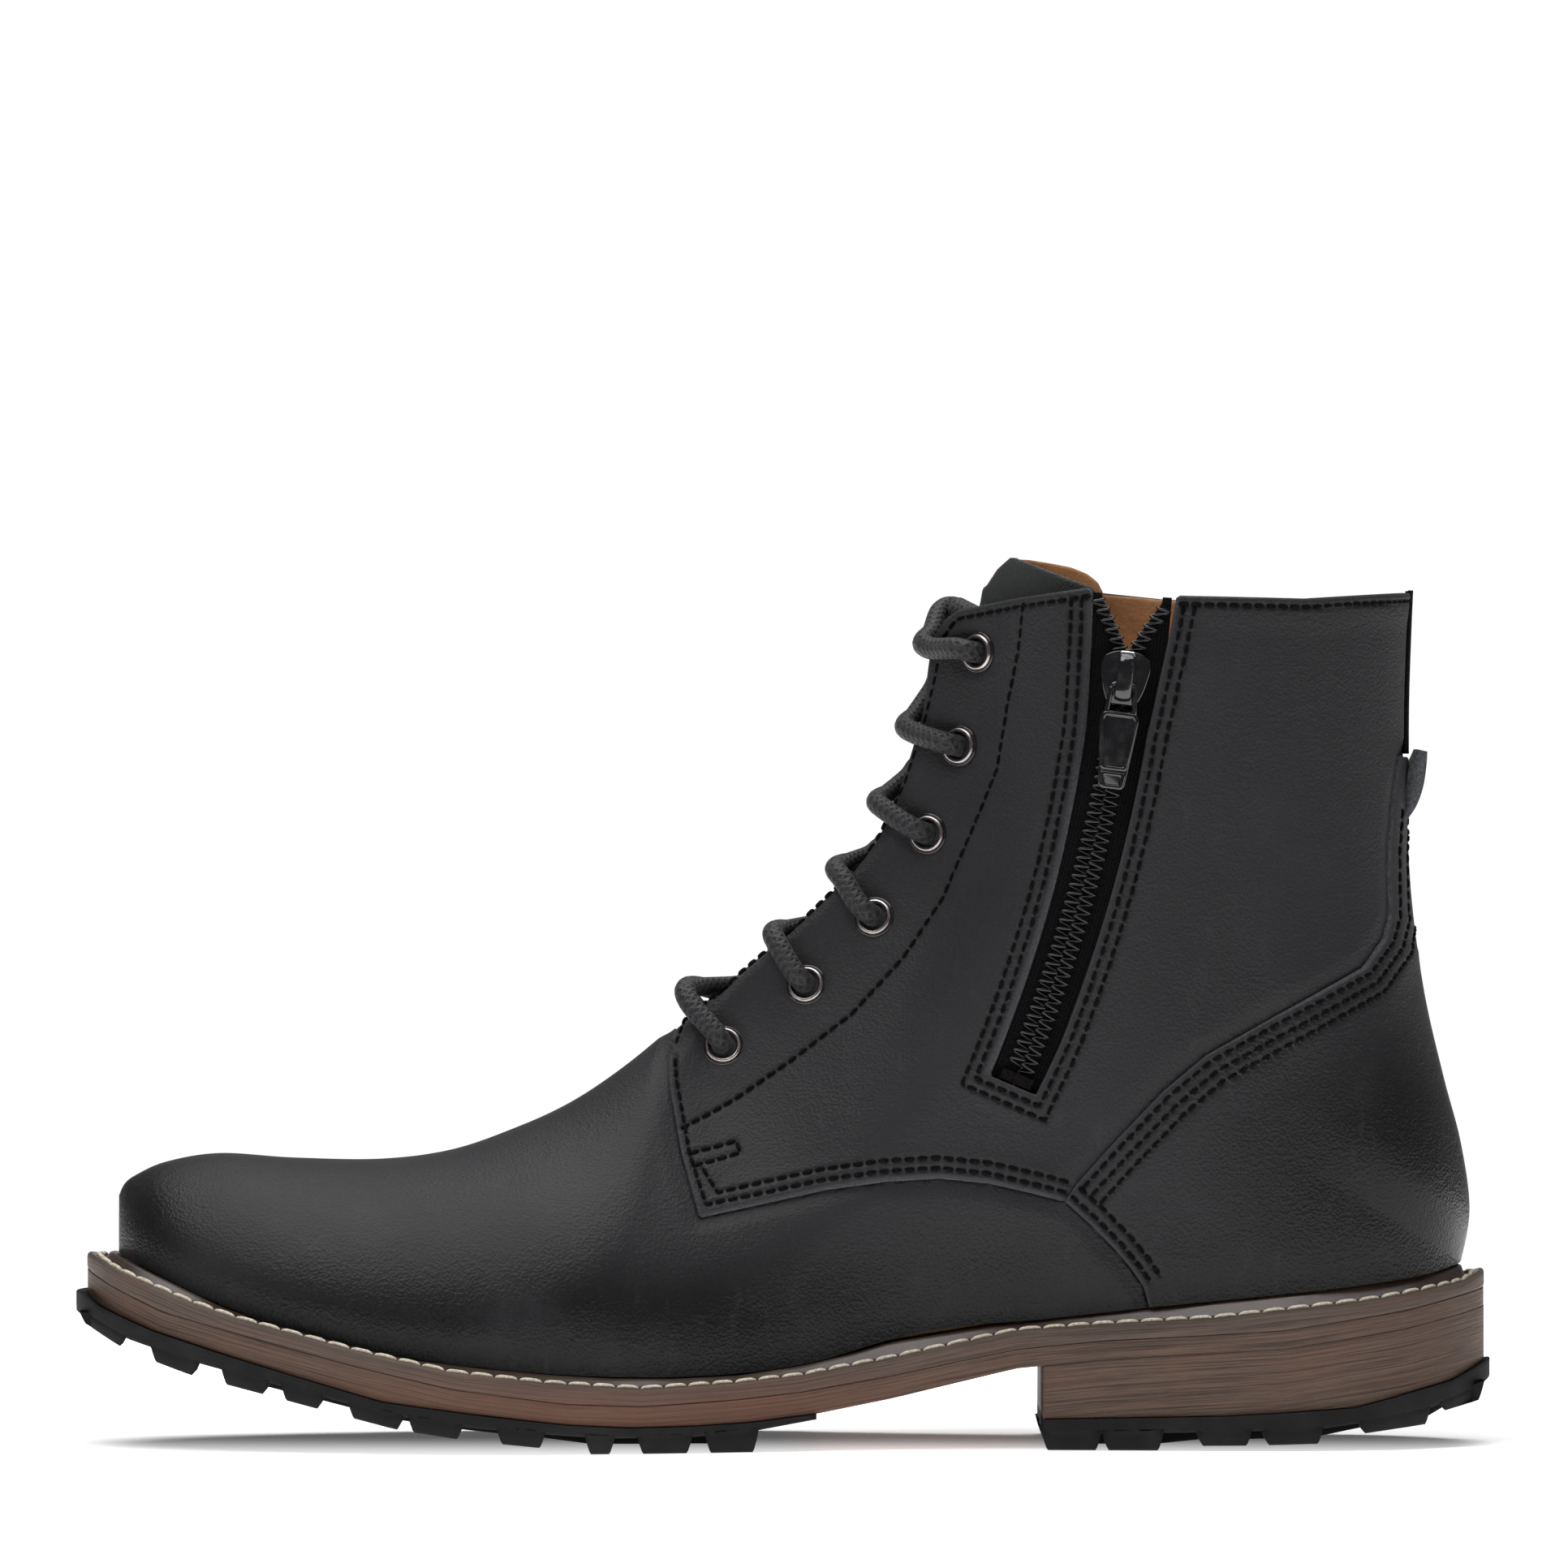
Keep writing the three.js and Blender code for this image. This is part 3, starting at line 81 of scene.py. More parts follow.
STACK_BOTTOM = np.array([
    (56, 6.6), (94.7, 7.4), (109.2, 8.2), (123.5, 9.2), (137.7, 12.8), (145, 14.6), (154, 18.9)])
HEEL_PLATE_BOTTOM = np.array([
    (56, 3.4), (94.7, 4), (115, 4.6), (125, 6), (138.6, 8.4), (150.6, 12.6), (154, 14.4)])
HEEL_LUG_BOTTOM = np.array([
    (56, 0), (81, 0), (90, 1), (100.8, 1.1), (115.3, 1.5), (125, 3.6), (138.6, 5.3), (142.8, 8),
    (150.6, 9.9), (154, 11.6)])
HEEL_LUGS = [(56.6, 67.5), (69.7, 80.9), (90, 99.9), (104.2, 115.3), (125, 138.9), (142.8, 151)]
PLATE_END_X = 7
HEEL_BREAST_X = 56
RUBBER_PROUD = 1.3

# One row per section of the upper, from the toe tip to above the collar: front x, front z, end x, end z,
# half width, end half width, nose width, nose depth, depth, wedge.
SECTIONS = np.array([
    (-144.8, 54, -144.8, 42, 47, 47, 47, 12, 12, 0),
    (-143.6, 56.6, -143.6, 41.4, 47, 47, 47, 15, 15, 0),
    (-141, 58.6, -141, 40.3, 46.5, 46.5, 46.5, 18, 18, 0),
    (-134.5, 61.4, -134.5, 37.4, 45, 45, 45, 23, 23, 0),
    (-123, 63.2, -122, 31.8, 43.4, 43.4, 43.4, 30, 30, 0),
    (-107, 62.2, -105, 25.8, 43.4, 43.4, 43.4, 35, 35, 0),
    (-88, 61.9, -83, 20.7, 46, 46, 46, 40, 40, 0),
    (-72.5, 63.9, -60, 17.8, 49, 49, 48, 44, 46, 0),
    (-58.7, 68.6, -38, 16.3, 49.4, 49.4, 42, 42, 50, 0),
    (-47.1, 73.9, -16, 16.3, 46, 46, 32, 30, 54, 0.4),
    (-36.5, 80.8, 5, 18.6, 41.5, 40.7, 22, 16, 56, 0.7),
    (-26, 89.3, 30, 25.3, 38.5, 35.5, 14.5, 8, 58, 0.9),
    (-15.2, 99.6, 58, 28.2, 37, 33.4, 11.5, 5, 58, 1),
    (-5.8, 107.6, 84, 31.1, 36.5, 33.8, 11, 4.5, 58, 1),
    (1.2, 113.6, 108, 33.5, 36.3, 34.2, 11, 4.5, 58, 1),
    (6.4, 118.4, 128, 35.8, 36.2, 34.2, 11, 4.5, 58, 0.95),
    (10.4, 122.3, 140, 37.6, 36.2, 34.2, 11, 4.5, 58, 0.9),
    (13.2, 125.2, 147.8, 39.6, 36.2, 34.2, 11, 4.5, 58, 0.85),
    (15.9, 128.2, 149.6, 51, 36.2, 36.2, 11, 4.5, 58, 0.8),
    (18.6, 131.8, 147.7, 65.4, 36.3, 36.3, 11, 4.5, 58, 0.75),
    (21.2, 136.5, 143.9, 80, 36.7, 36.7, 11, 4.5, 58, 0.65),
    (23.5, 142.4, 139.8, 98, 37.2, 37.2, 11, 4.5, 57, 0.5),
    (26.4, 150.5, 137, 118.5, 37.8, 37.8, 10.8, 4.3, 55, 0.35),
    (28.8, 159.5, 136, 138, 38.6, 38.6, 10.5, 4.1, 53, 0.2),
    (30.6, 171.5, 135.8, 158, 39.8, 39.8, 10.3, 4, 51, 0.1),
    (32, 180, 136.3, 176, 40.7, 40.7, 10.2, 4, 50, 0),
    (34.2, 197, 137.2, 196, 41.8, 41.8, 10, 4, 49, 0)])
LAST = len(SECTIONS) - 1
HEEL_ROW = 17
TOE_X = -144.8
TOE_PLAN_DEPTH = 60
UPPER_HEEL_X = 147.8
HEEL_DEPTH = 34
COLLAR_BACK_DEPTH = 50
TUCK = 1.2
THROAT = 9.5

QUARTER_FRONT = [(-23.4, 97), (-25.4, 84), (-24.9, 78.7), (-22.1, 63.3), (-18.3, 50.3)]
QUARTER_BOTTOM = [(-5, 53.1), (9, 56.2), (21.7, 58), (33.6, 58.7), (44.1, 57.6), (53.2, 55.5)]
COUNTER_CORNER = (60.6, 53.6)
COUNTER_TOP = [
    (63.1, 57.2), (71.6, 66.7), (81.8, 77.4), (91.1, 85.2), (105.3, 93.2), (115.4, 98.6), (125.6, 104),
    (130.3, 110.1), (131.7, 114.9), (131.6, 128.5), (132.4, 138.6), (134, 149.5)]
COUNTER_FRONT = [(60.6, 53.6), (66.3, 48.4), (71.6, 43), (75.1, 38.8), (77.6, 35.1), (79.6, 28)]
COLLAR_REAR = [(145, 185.6), (135.4, 185.2), (112.3, 183.7), (84.7, 184.3)]
COLLAR_FRONT = [(66.5, 186.1), (50.3, 183.8), (38, 181.4), (35.6, 179.6), (33.2, 176), (20, 172)]
EYESTAY = [
    (-22.2, 68.6), (-10, 75.6), (1.4, 83.5), (14.7, 93.7), (25.9, 106), (34.3, 118.5), (41.6, 135.5),
    (46.1, 146.7), (48.4, 160.9), (50.6, 172.1), (52.1, 183.2)]
BAR_TACK = [(-20.4, 63.4), (-10.3, 66.4), (-9.4, 63.9), (-19.6, 60.8)]

ZIP_CENTRE = (-254, 208)
ZIP_RADIUS = 330
ZIP_PLANE_Y = -36.5
ZIP_PLANE_Z = 127
ZIP_LEAN = 0.052
ZIP_REST = 7.2
ZIP_TOP = 4.1
ZIP_BOTTOM = 23.1
TAPE_DEPTH = 2.05
SLOT_FRONT = np.array([(3.9, 9), (7, 8), (9.2, 7), (15, 6.3), (23.3, 6)])
SLOT_REAR = np.array([(3.9, 9.5), (7, 7.6), (9.2, 6.6), (15, 6.4), (21, 6), (23.3, 5.2)])

EYELETS = [(-13.2, 86.8), (4.8, 100), (19.6, 114.7), (31.2, 132.8), (38, 151.9), (42, 172.2)]

# ---------------------------------------------------------------- numbers and curves


def lerp(a, b, t):
    return a + (b - a) * t


def clamp(v, lo=0.0, hi=1.0):
    return np.minimum(hi, np.maximum(lo, v))


def smooth(lo, hi, v):
    t = clamp((v - lo) / (hi - lo))
    return t * t * (3 - 2 * t)


def quarter(v):
    return np.sqrt(1 - (1 - clamp(v)) ** 2)


def along(table, x):
    return np.interp(x, table[:, 0], table[:, 1])


def rounded(table, x):
    """Smooth value of a table of (x, value) rows, by Catmull-Rom."""
    x = np.asarray(x, float)
    xs, vs = table[:, 0], table[:, 1]
    i = np.clip(np.searchsorted(xs, x), 1, len(xs) - 1)
    i0, i3 = np.maximum(i - 2, 0), np.minimum(i + 1, len(xs) - 1)
    run = xs[i] - xs[i - 1]
    t = clamp((x - xs[i - 1]) / run)
    m1 = (vs[i] - vs[i0]) / (xs[i] - xs[i0]) * run
    m2 = (vs[i3] - vs[i - 1]) / (xs[i3] - xs[i - 1]) * run
    t2, t3 = t * t, t * t * t
    return ((2 * t3 - 3 * t2 + 1) * vs[i - 1] + (t3 - 2 * t2 + t) * m1
            + (3 * t2 - 2 * t3) * vs[i] + (t3 - t2) * m2)


def unit(v):
    return v / np.maximum(np.linalg.norm(v, axis=-1, keepdims=True), 1e-9)


def offset_line(points, distance):
    """The open line moved to its left by distance."""
    p = np.array(points, float)
    run = np.gradient(p, axis=0)
    run = unit(run)
    return p + distance * np.stack([-run[:, 1], run[:, 0]], axis=1)


def resample(points, pitch):
    """Points at an even pitch along a polyline."""
    p = np.asarray(points, float)
    s = np.concatenate([[0], np.cumsum(np.linalg.norm(np.diff(p, axis=0), axis=1))])
    count = max(int(round(s[-1] / pitch)), 2)
    at = np.linspace(0, s[-1], count + 1)
    return np.stack([np.interp(at, s, p[:, k]) for k in range(p.shape[1])], axis=1)


def curve_through(points, steps):
    """A Catmull-Rom curve through the points."""
    p = np.asarray(points, float)
    p = np.vstack([2 * p[0] - p[1], p, 2 * p[-1] - p[-2]])
    t = np.linspace(0, 1, steps, endpoint=False)[:, None]
    parts = []
    for i in range(1, len(p) - 2):
        a, b, c, d = p[i - 1:i + 3]
        parts.append(0.5 * (2 * b + (c - a) * t + (2 * a - 5 * b + 4 * c - d) * t ** 2
                            + (3 * (b - c) + d - a) * t ** 3))
    return np.vstack(parts + [p[-2:-1]])


# ---------------------------------------------------------------- the surface of the upper


def column(a, k):
    i = np.minimum(np.floor(a).astype(int), LAST - 1)
    f = a - i
    before, after = np.maximum(i - 1, 0), np.minimum(i + 2, LAST)
    if k in (2, 3):
        after = np.where(i < HEEL_ROW, np.minimum(after, HEEL_ROW), after)
        before = np.where(i >= HEEL_ROW, np.maximum(before, HEEL_ROW), before)
    p0, p1, p2, p3 = (SECTIONS[r, k] for r in (before, i, i + 1, after))
    return p1 + 0.5 * f * (p2 - p0 + f * (2 * p0 - 5 * p1 + 4 * p2 - p3 + f * (3 * (p1 - p2) + p3 - p0)))


def section_place(a, u):
    """How far along its section the place u lies, from 0 (front profile) to 1."""
    tau = np.abs(u)
    opened = 1 - np.cos(tau * math.pi / 2)
    closed = (1 - np.cos(tau * math.pi)) / 2
    return lerp(opened, closed, smooth(HEEL_ROW - 4, HEEL_ROW + 1, a))


def zip_plane(z):
    return ZIP_PLANE_Y - ZIP_LEAN * (z - ZIP_PLANE_Z)


def skin(a, u, inset=0.0, front_inset=None):
    """Points of the upper, in millimetres, inset below its outer surface."""
    a, u = np.asarray(a, float), np.asarray(u, float)
    front_inset = inset if front_inset is None else front_inset
    fx, fz, ex, ez, width, end_width, nose_width, nose_depth, depth, wedge = (column(a, k) for k in range(10))
    length = np.hypot(ex - fx, ez - fz)
    toe_shift = inset * (1 - smooth(0, TOE_PLAN_DEPTH, fx - TOE_X))
    heel_shift = inset * np.where(a >= HEEL_ROW, 1, smooth(90, UPPER_HEEL_X, ex))
    x0 = fx + front_inset * (ex - fx) / length + toe_shift
    z0 = fz + front_inset * (ez - fz) / length
    x1 = ex - heel_shift + toe_shift
    t = section_place(a, u)
    x = lerp(x0, x1, t)
    z = lerp(z0, ez, t)
    d = np.hypot(x - x0, z - z0)
    reach = clamp((d + front_inset) / depth)
    flare = lerp(np.sin(reach * math.pi / 2), (1 - np.cos(reach * math.pi)) / 2, wedge)
    full = lerp(width, end_width, smooth(0.6, 1, t))
    toe = quarter((x - TOE_X - inset) / TOE_PLAN_DEPTH)
    back_depth = lerp(HEEL_DEPTH, COLLAR_BACK_DEPTH, smooth(60, 185, z))
    back_x = np.where(a >= HEEL_ROW, ex, UPPER_HEEL_X) - inset
    back = quarter((back_x - x) / (back_depth - inset))
    feather_z = np.where(a >= HEEL_ROW, SECTIONS[HEEL_ROW, 3], ez)
    tuck = TUCK * np.exp(-(((z - feather_z) / 6) ** 2))
    outer = nose_width + (full - nose_width) * flare - tuck - inset
    half = np.maximum(0, outer * quarter(d / nose_depth) * toe * back)
    half = np.where((a == 0) | ((a >= HEEL_ROW) & (np.abs(u) == 1)), 0, half)
    y = rounded(SOLE_CENTRE, x) * (1 - smooth(45, 115, z)) + np.sign(u) * half
    off = np.abs(np.hypot(x - ZIP_CENTRE[0], z - ZIP_CENTRE[1]) - ZIP_RADIUS)
    near = (1 - smooth(8, 30, off)) * smooth(50, 68, z) * (u < 0)
    y = lerp(y, zip_plane(z) + inset, near)
    return np.stack([x, y, z], axis=-1)


def skin_normal(a, u, inset=0.0):
    da = skin(np.minimum(a + 0.02, LAST), u, inset) - skin(np.maximum(a - 0.02, 0), u, inset)
    du = skin(a, np.minimum(u + 0.004, 1), inset) - skin(a, np.maximum(u - 0.004, -1), inset)
    return unit(np.cross(da, du))


def chart(points, side):
    """The (a, u) of side-view places x, z on one side of the upper."""
    points = np.asarray(points, float)
    samples = np.linspace(0, LAST, 2601)
    fx, fz, ex, ez = (column(samples, k) for k in range(4))
    a_out, u_out = [], []
    taus = np.linspace(0, 1, 401)
    for x, z in points:
        cross = (ex - fx) * (z - fz) - (ez - fz) * (x - fx)
        turn = np.nonzero((cross[:-1] <= 0) != (cross[1:] <= 0))[0]
        best, best_off = (0.0, 0.0), 1e9
        for i in turn:
            a = samples[i] + (samples[i + 1] - samples[i]) * cross[i] / (cross[i] - cross[i + 1])
            f = np.array([column(np.array(a), k) for k in range(4)])
            run = np.array([f[2] - f[0], f[3] - f[1]])
            t = float(np.dot([x - f[0], z - f[1]], run) / np.dot(run, run))
            off = max(0.0, -t, t - 1)
            if off < best_off:
                tau = float(np.interp(clamp(t), section_place(np.full(401, a), taus), taus))
                best, best_off = (a, tau), off
        a_out.append(best[0])
        u_out.append(side * max(best[1], 1e-4))
    return np.array(a_out), np.array(u_out)


# ---------------------------------------------------------------- patches of the surface


def polyline_distance(x, z, line, normals=None):
    """Distance in the side view to a line, and along the surface where normals are given."""
    p = np.asarray(line, float)
    best = np.full(x.shape, 1e9)
    slope = np.ones(x.shape)
    for (ax, az), (bx, bz) in zip(p[:-1], p[1:]):
        run = (bx - ax, bz - az)
        size = max(run[0] ** 2 + run[1] ** 2, 1e-9)
        t = clamp(((x - ax) * run[0] + (z - az) * run[1]) / size)
        d = np.hypot(x - ax - t * run[0], z - az - t * run[1])
        closer = d < best
        best = np.where(closer, d, best)
        if normals is not None:
            size = math.sqrt(size)
            lean = normals[..., 0] * -run[1] / size + normals[..., 2] * run[0] / size
            slope = np.where(closer, np.sqrt(np.maximum(1 - lean ** 2, 0.06)), slope)
    return best / slope


def inside(x, z, outline):
    p = np.asarray(outline, float)
    q = np.roll(p, -1, axis=0)
    odd = np.zeros(x.shape, bool)
    for (ax, az), (bx, bz) in zip(p, q):
        if az == bz:
            continue
        crosses = (az > z) != (bz > z)
        odd ^= crosses & (x < (bx - ax) * (z - az) / (bz - az) + ax)
    return odd


def signed(x, z, outline, normals=None):
    """Signed distance to a closed outline, negative inside."""
    closed = list(outline) + [outline[0]]
    d = polyline_distance(x, z, closed, normals)
    return np.where(inside(x, z, outline), -d, d)


class Patch:
    """A triangulated piece of the (a, u) chart of the upper."""

    def __init__(self, a0, a1, u0, u1, step=STEP):
        rows = [a0]
        for i in range(int(math.floor(a0)), int(math.ceil(a1))):
            front = math.hypot(*(SECTIONS[i + 1, :2] - SECTIONS[i, :2]))
            end = math.hypot(*(SECTIONS[i + 1, 2:4] - SECTIONS[i, 2:4]))
            count = max(int(math.ceil(max(front, end) / step)), 2)
            rows += [v for v in np.linspace(i, i + 1, count + 1)[1:] if a0 < v < a1]
        rows = np.array(rows + [a1])
        count = max(int(round(150 * (u1 - u0) / 1.1 / step)), 4)
        us = np.linspace(u0, u1, count + 1)
        grid_a, grid_u = np.meshgrid(rows, us, indexing="ij")
        self.a, self.u = grid_a.ravel(), grid_u.ravel()
        index = np.arange(grid_a.size).reshape(grid_a.shape)
        p, q, r, s = index[:-1, :-1], index[:-1, 1:], index[1:, 1:], index[1:, :-1]
        self.tris = np.concatenate([
            np.stack([p, s, r], -1).reshape(-1, 3), np.stack([p, r, q], -1).reshape(-1, 3)])
        self.place()

    def place(self):
        self.xyz = skin(self.a, self.u)
        self.normal = skin_normal(self.a, self.u)

    def cut(self, field, level, drop):
        """Cuts the triangles along field == level, and drops what lies above it if drop."""
        v = field(self) - level
        v = np.where(np.abs(v) < 1e-5, -1e-5, v)
        above = v > 0
        high = above[self.tris]
        count = high.sum(1)
        mixed = self.tris[(count == 1) | (count == 2)]
        high = high[(count == 1) | (count == 2)]
        lone_is_high = high.sum(1) == 1
        lone = np.argmax(high == lone_is_high[:, None], axis=1)
        row = np.arange(len(mixed))
        first, second, third = (mixed[row, (lone + k) % 3] for k in range(3))
        pairs = np.concatenate([np.stack([first, second], 1), np.stack([first, third], 1)])
        pairs = np.sort(pairs, axis=1)
        edges, which = np.unique(pairs, axis=0, return_inverse=True)
        which = which.reshape(-1)
        lo, hi = edges[:, 0], edges[:, 1]
        w = v[lo] / (v[lo] - v[hi])
        new = len(self.a) + which
        m1, m2 = new[:len(mixed)], new[len(mixed):]
        self.a = np.concatenate([self.a, lerp(self.a[lo], self.a[hi], w)])
        self.u = np.concatenate([self.u, lerp(self.u[lo], self.u[hi], w)])
        tips = np.stack([first, m1, m2], 1)
        bases = np.concatenate([np.stack([m1, second, third], 1), np.stack([m1, third, m2], 1)])
        base_high = np.concatenate([~lone_is_high, ~lone_is_high])
        parts = [self.tris[count == 0], tips[~lone_is_high], bases[~base_high]]
        if not drop:
            parts += [self.tris[count == 3], tips[lone_is_high], bases[base_high]]
        self.tris = np.concatenate(parts)
        if drop:
            used, self.tris = np.unique(self.tris, return_inverse=True)
            self.tris = self.tris.reshape(-1, 3)
            self.a, self.u = self.a[used], self.u[used]
        self.place()
        return self

    def trim(self, field, rings=(0.18, 0.5, 1.1)):
        """Cuts the patch to where field is negative, with rings of vertices along the new edge."""
        self.cut(field, 0.0, True)
        for ring in rings:
            self.cut(field, -ring, False)
        return self

    def groove_lines(self, line, radii=(0.0, 0.55, 1.1)):
        """Rings of vertices along a seam, so that a groove can follow it."""
        for radius in radii:
            if radius > 0:
                self.cut(lambda p: line_field(p, line), radius, False)
        return self


def line_field(patch, line):
    return polyline_distance(patch.xyz[:, 0], patch.xyz[:, 2], line, patch.normal)


# ---------------------------------------------------------------- meshes


def mesh_object(name, points, faces, materials, smooth_shading=True, attributes=None, face_materials=None,
                uvs=None):
    """An object from points in millimetres. attributes holds one number a vertex, uvs one pair a vertex."""
    mesh = bpy.data.meshes.new(name)
    mesh.from_pydata((np.asarray(points, float) / 1000).tolist(), [], [list(map(int, f)) for f in faces])
    for key, values in (attributes or {}).items():
        layer = mesh.attributes.new(key, "FLOAT", "POINT")
        layer.data.foreach_set("value", np.asarray(values, np.float32))
    if uvs is not None:
        layer = mesh.uv_layers.new(name="UVMap")
        loops = np.zeros(len(mesh.loops), np.int32)
        mesh.loops.foreach_get("vertex_index", loops)
        layer.data.foreach_set("uv", np.asarray(uvs, np.float32)[loops].ravel())
    for material in materials:
        mesh.materials.append(material)
    if face_materials is not None:
        mesh.polygons.foreach_set("material_index", np.asarray(face_materials, np.int32))
    mesh.polygons.foreach_set("use_smooth", [smooth_shading] * len(mesh.polygons))
    mesh.validate()
    mesh.update()
    obj = bpy.data.objects.new(name, mesh)
    bpy.context.scene.collection.objects.link(obj)
    return obj


def finish_piece(obj, body, slot, *nodes):
    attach(obj, body)
    if nodes:
        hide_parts(*nodes)
    return obj


def weld(points, faces):
    keys = np.round(points, 3)
    _, first, inverse = np.unique(keys, axis=0, return_index=True, return_inverse=True)
    inverse = inverse.reshape(-1)
    faces = inverse[faces]
    keep = (faces[:, 0] != faces[:, 1]) & (faces[:, 1] != faces[:, 2]) & (faces[:, 2] != faces[:, 0])
    return first, faces[keep]


def border_edges(faces):
    edges = np.concatenate([faces[:, [0, 1]], faces[:, [1, 2]], faces[:, [2, 0]]])
    ordered = np.sort(edges, axis=1)
    _, inverse, counts = np.unique(ordered, axis=0, return_inverse=True, return_counts=True)
    return edges[counts[inverse.reshape(-1)] == 1]


def thick_piece(name, patch, outer_inset, inner_inset, materials, edge, surface=skin):
    """A closed sheet of the upper between two depths, with its cut edge.

    edge is each point's distance to that cut edge.
    """
    outer = surface(patch.a, patch.u, outer_inset)
    inner = surface(patch.a, patch.u, inner_inset)
    keep, faces = weld(outer, patch.tris)
    outer, inner, edge = outer[keep], inner[keep], edge[keep]
    rim = border_edges(faces)
    used = np.unique(rim)
    count = len(outer)
    seat = np.full(count, -1)
    seat[used] = np.arange(len(used)) + 2 * count
    wall_top = outer[used]
    wall_low = inner[used]
    points = np.concatenate([outer, inner, wall_top, wall_low])
    b, a = rim[:, 0], rim[:, 1]
    low = len(used)
    quads = np.stack([seat[a], seat[b], seat[b] + low, seat[a] + low], 1)
    all_faces = faces.tolist() + (faces[:, ::-1] + count).tolist() + quads.tolist()
    kinds = [0] * len(faces) + [1] * len(faces) + [2] * len(quads)
    attribute = np.concatenate([edge, np.full(count, 30.0), np.full(2 * low, -1.0)])
    return mesh_object(name, points, all_faces, materials, attributes={"edge": attribute},
                       face_materials=kinds)


def tube(path, across, sides, half_width, half_height, closed_ends=True, wave=None):
    """Points, faces and UVs of a tube with an elliptic section; across gives the direction of its width."""
    path = np.asarray(path, float)
    forward = unit(np.gradient(path, axis=0))
    side = unit(across - (across * forward).sum(1, keepdims=True) * forward)
    up = np.cross(forward, side)
    turn = np.linspace(0, 2 * math.pi, sides, endpoint=False)
    half_width = np.broadcast_to(half_width, len(path))[:, None, None]
    half_height = np.broadcast_to(half_height, len(path))[:, None, None]
    s = np.concatenate([[0], np.cumsum(np.linalg.norm(np.diff(path, axis=0), axis=1))])
    swell = 0 if wave is None else wave(s[:, None], turn[None, :])[..., None]
    ring = (side[:, None] * np.cos(turn)[None, :, None] * (half_width + swell)
            + up[:, None] * np.sin(turn)[None, :, None] * (half_height + swell))
    points = (path[:, None] + ring).reshape(-1, 3)
    n = len(path)
    index = np.arange(n * sides).reshape(n, sides)
    nxt = np.roll(index, -1, axis=1)
    faces = np.stack([index[:-1], nxt[:-1], nxt[1:], index[1:]], -1).reshape(-1, 4).tolist()
    if closed_ends:
        faces += [index[0][::-1].tolist(), index[-1].tolist()]
    uvs = np.stack([np.repeat(s, sides), np.tile(turn / (2 * math.pi), n)], 1)
    return points, faces, uvs


def merge_parts(parts):
    points, faces, start = [], [], 0
    for p, f in parts:
        points.append(np.asarray(p, float))
        faces += [[i + start for i in face] for face in f]
        start += len(p)
    return np.vstack(points), faces


def lathe(profile, segments=48):
    """Points and quads of a turned ring, from a closed profile of (radius, height)."""
    profile = np.array(profile, float)
    turn = np.linspace(0, 2 * math.pi, segments, endpoint=False)
    ring = np.stack([np.cos(turn), np.sin(turn)], 1)
    points = np.concatenate([
        np.concatenate([ring * r, np.full((segments, 1), h)], 1) for r, h in profile])
    n = len(profile)
    faces = []
    for i in range(n):
        for k in range(segments):
            j, m = (i + 1) % n, (k + 1) % segments
            faces.append([i * segments + k, i * segments + m, j * segments + m, j * segments + k])
    return points, faces


def rounded_loop(corners, radius, steps=5):
    """A closed polygon with rounded corners."""
    pts = np.array(corners, float)
    out = []
    for i, p in enumerate(pts):
        a, b = pts[i - 1], pts[(i + 1) % len(pts)]
        da, db = unit(a - p), unit(b - p)
        r = min(radius, np.linalg.norm(a - p) * 0.45, np.linalg.norm(b - p) * 0.45)
        for t in np.linspace(0, 1, steps):
            out.append((1 - t) ** 2 * (p + da * r) + 2 * t * (1 - t) * p + t ** 2 * (p + db * r))
    return np.array(out)


def slab(outline, z0, z1, bevel=0.2):
    """A prism on a plan outline with rounded rims: points and faces."""
    outline = np.asarray(outline, float)
    run = unit(np.roll(outline, -1, axis=0) - np.roll(outline, 1, axis=0))
    xs, ys = outline[:, 0], outline[:, 1]
    area = 0.5 * np.sum(xs * np.roll(ys, -1) - np.roll(xs, -1) * ys)
    inward = np.stack([-run[:, 1], run[:, 0]], 1) * (1 if area > 0 else -1)
    rings = []
    for turn in (0, 30, 60, 90):
        t = math.radians(turn)
        rings.append((bevel * (1 - math.sin(t)), z0 + bevel * (1 - math.cos(t))))
    rings += [(inset, z0 + z1 - z) for inset, z in reversed(rings)]
    points = np.concatenate([
        np.concatenate([outline + inward * inset, np.full((len(outline), 1), z)], 1) for inset, z in rings])
    n = len(outline)
    faces = []
    for i in range(len(rings) - 1):
        for k in range(n):
            m = (k + 1) % n
            faces.append([i * n + k, i * n + m, (i + 1) * n + m, (i + 1) * n + k])
    faces.append(list(range(n))[::-1])
    faces.append([(len(rings) - 1) * n + k for k in range(n)])
    if area < 0:
        faces = [f[::-1] for f in faces]
    return points, faces


def placed(points, origin, x_axis, y_axis, z_axis):
    basis = np.array([x_axis, y_axis, z_axis])
    return np.asarray(points) @ basis + np.asarray(origin)


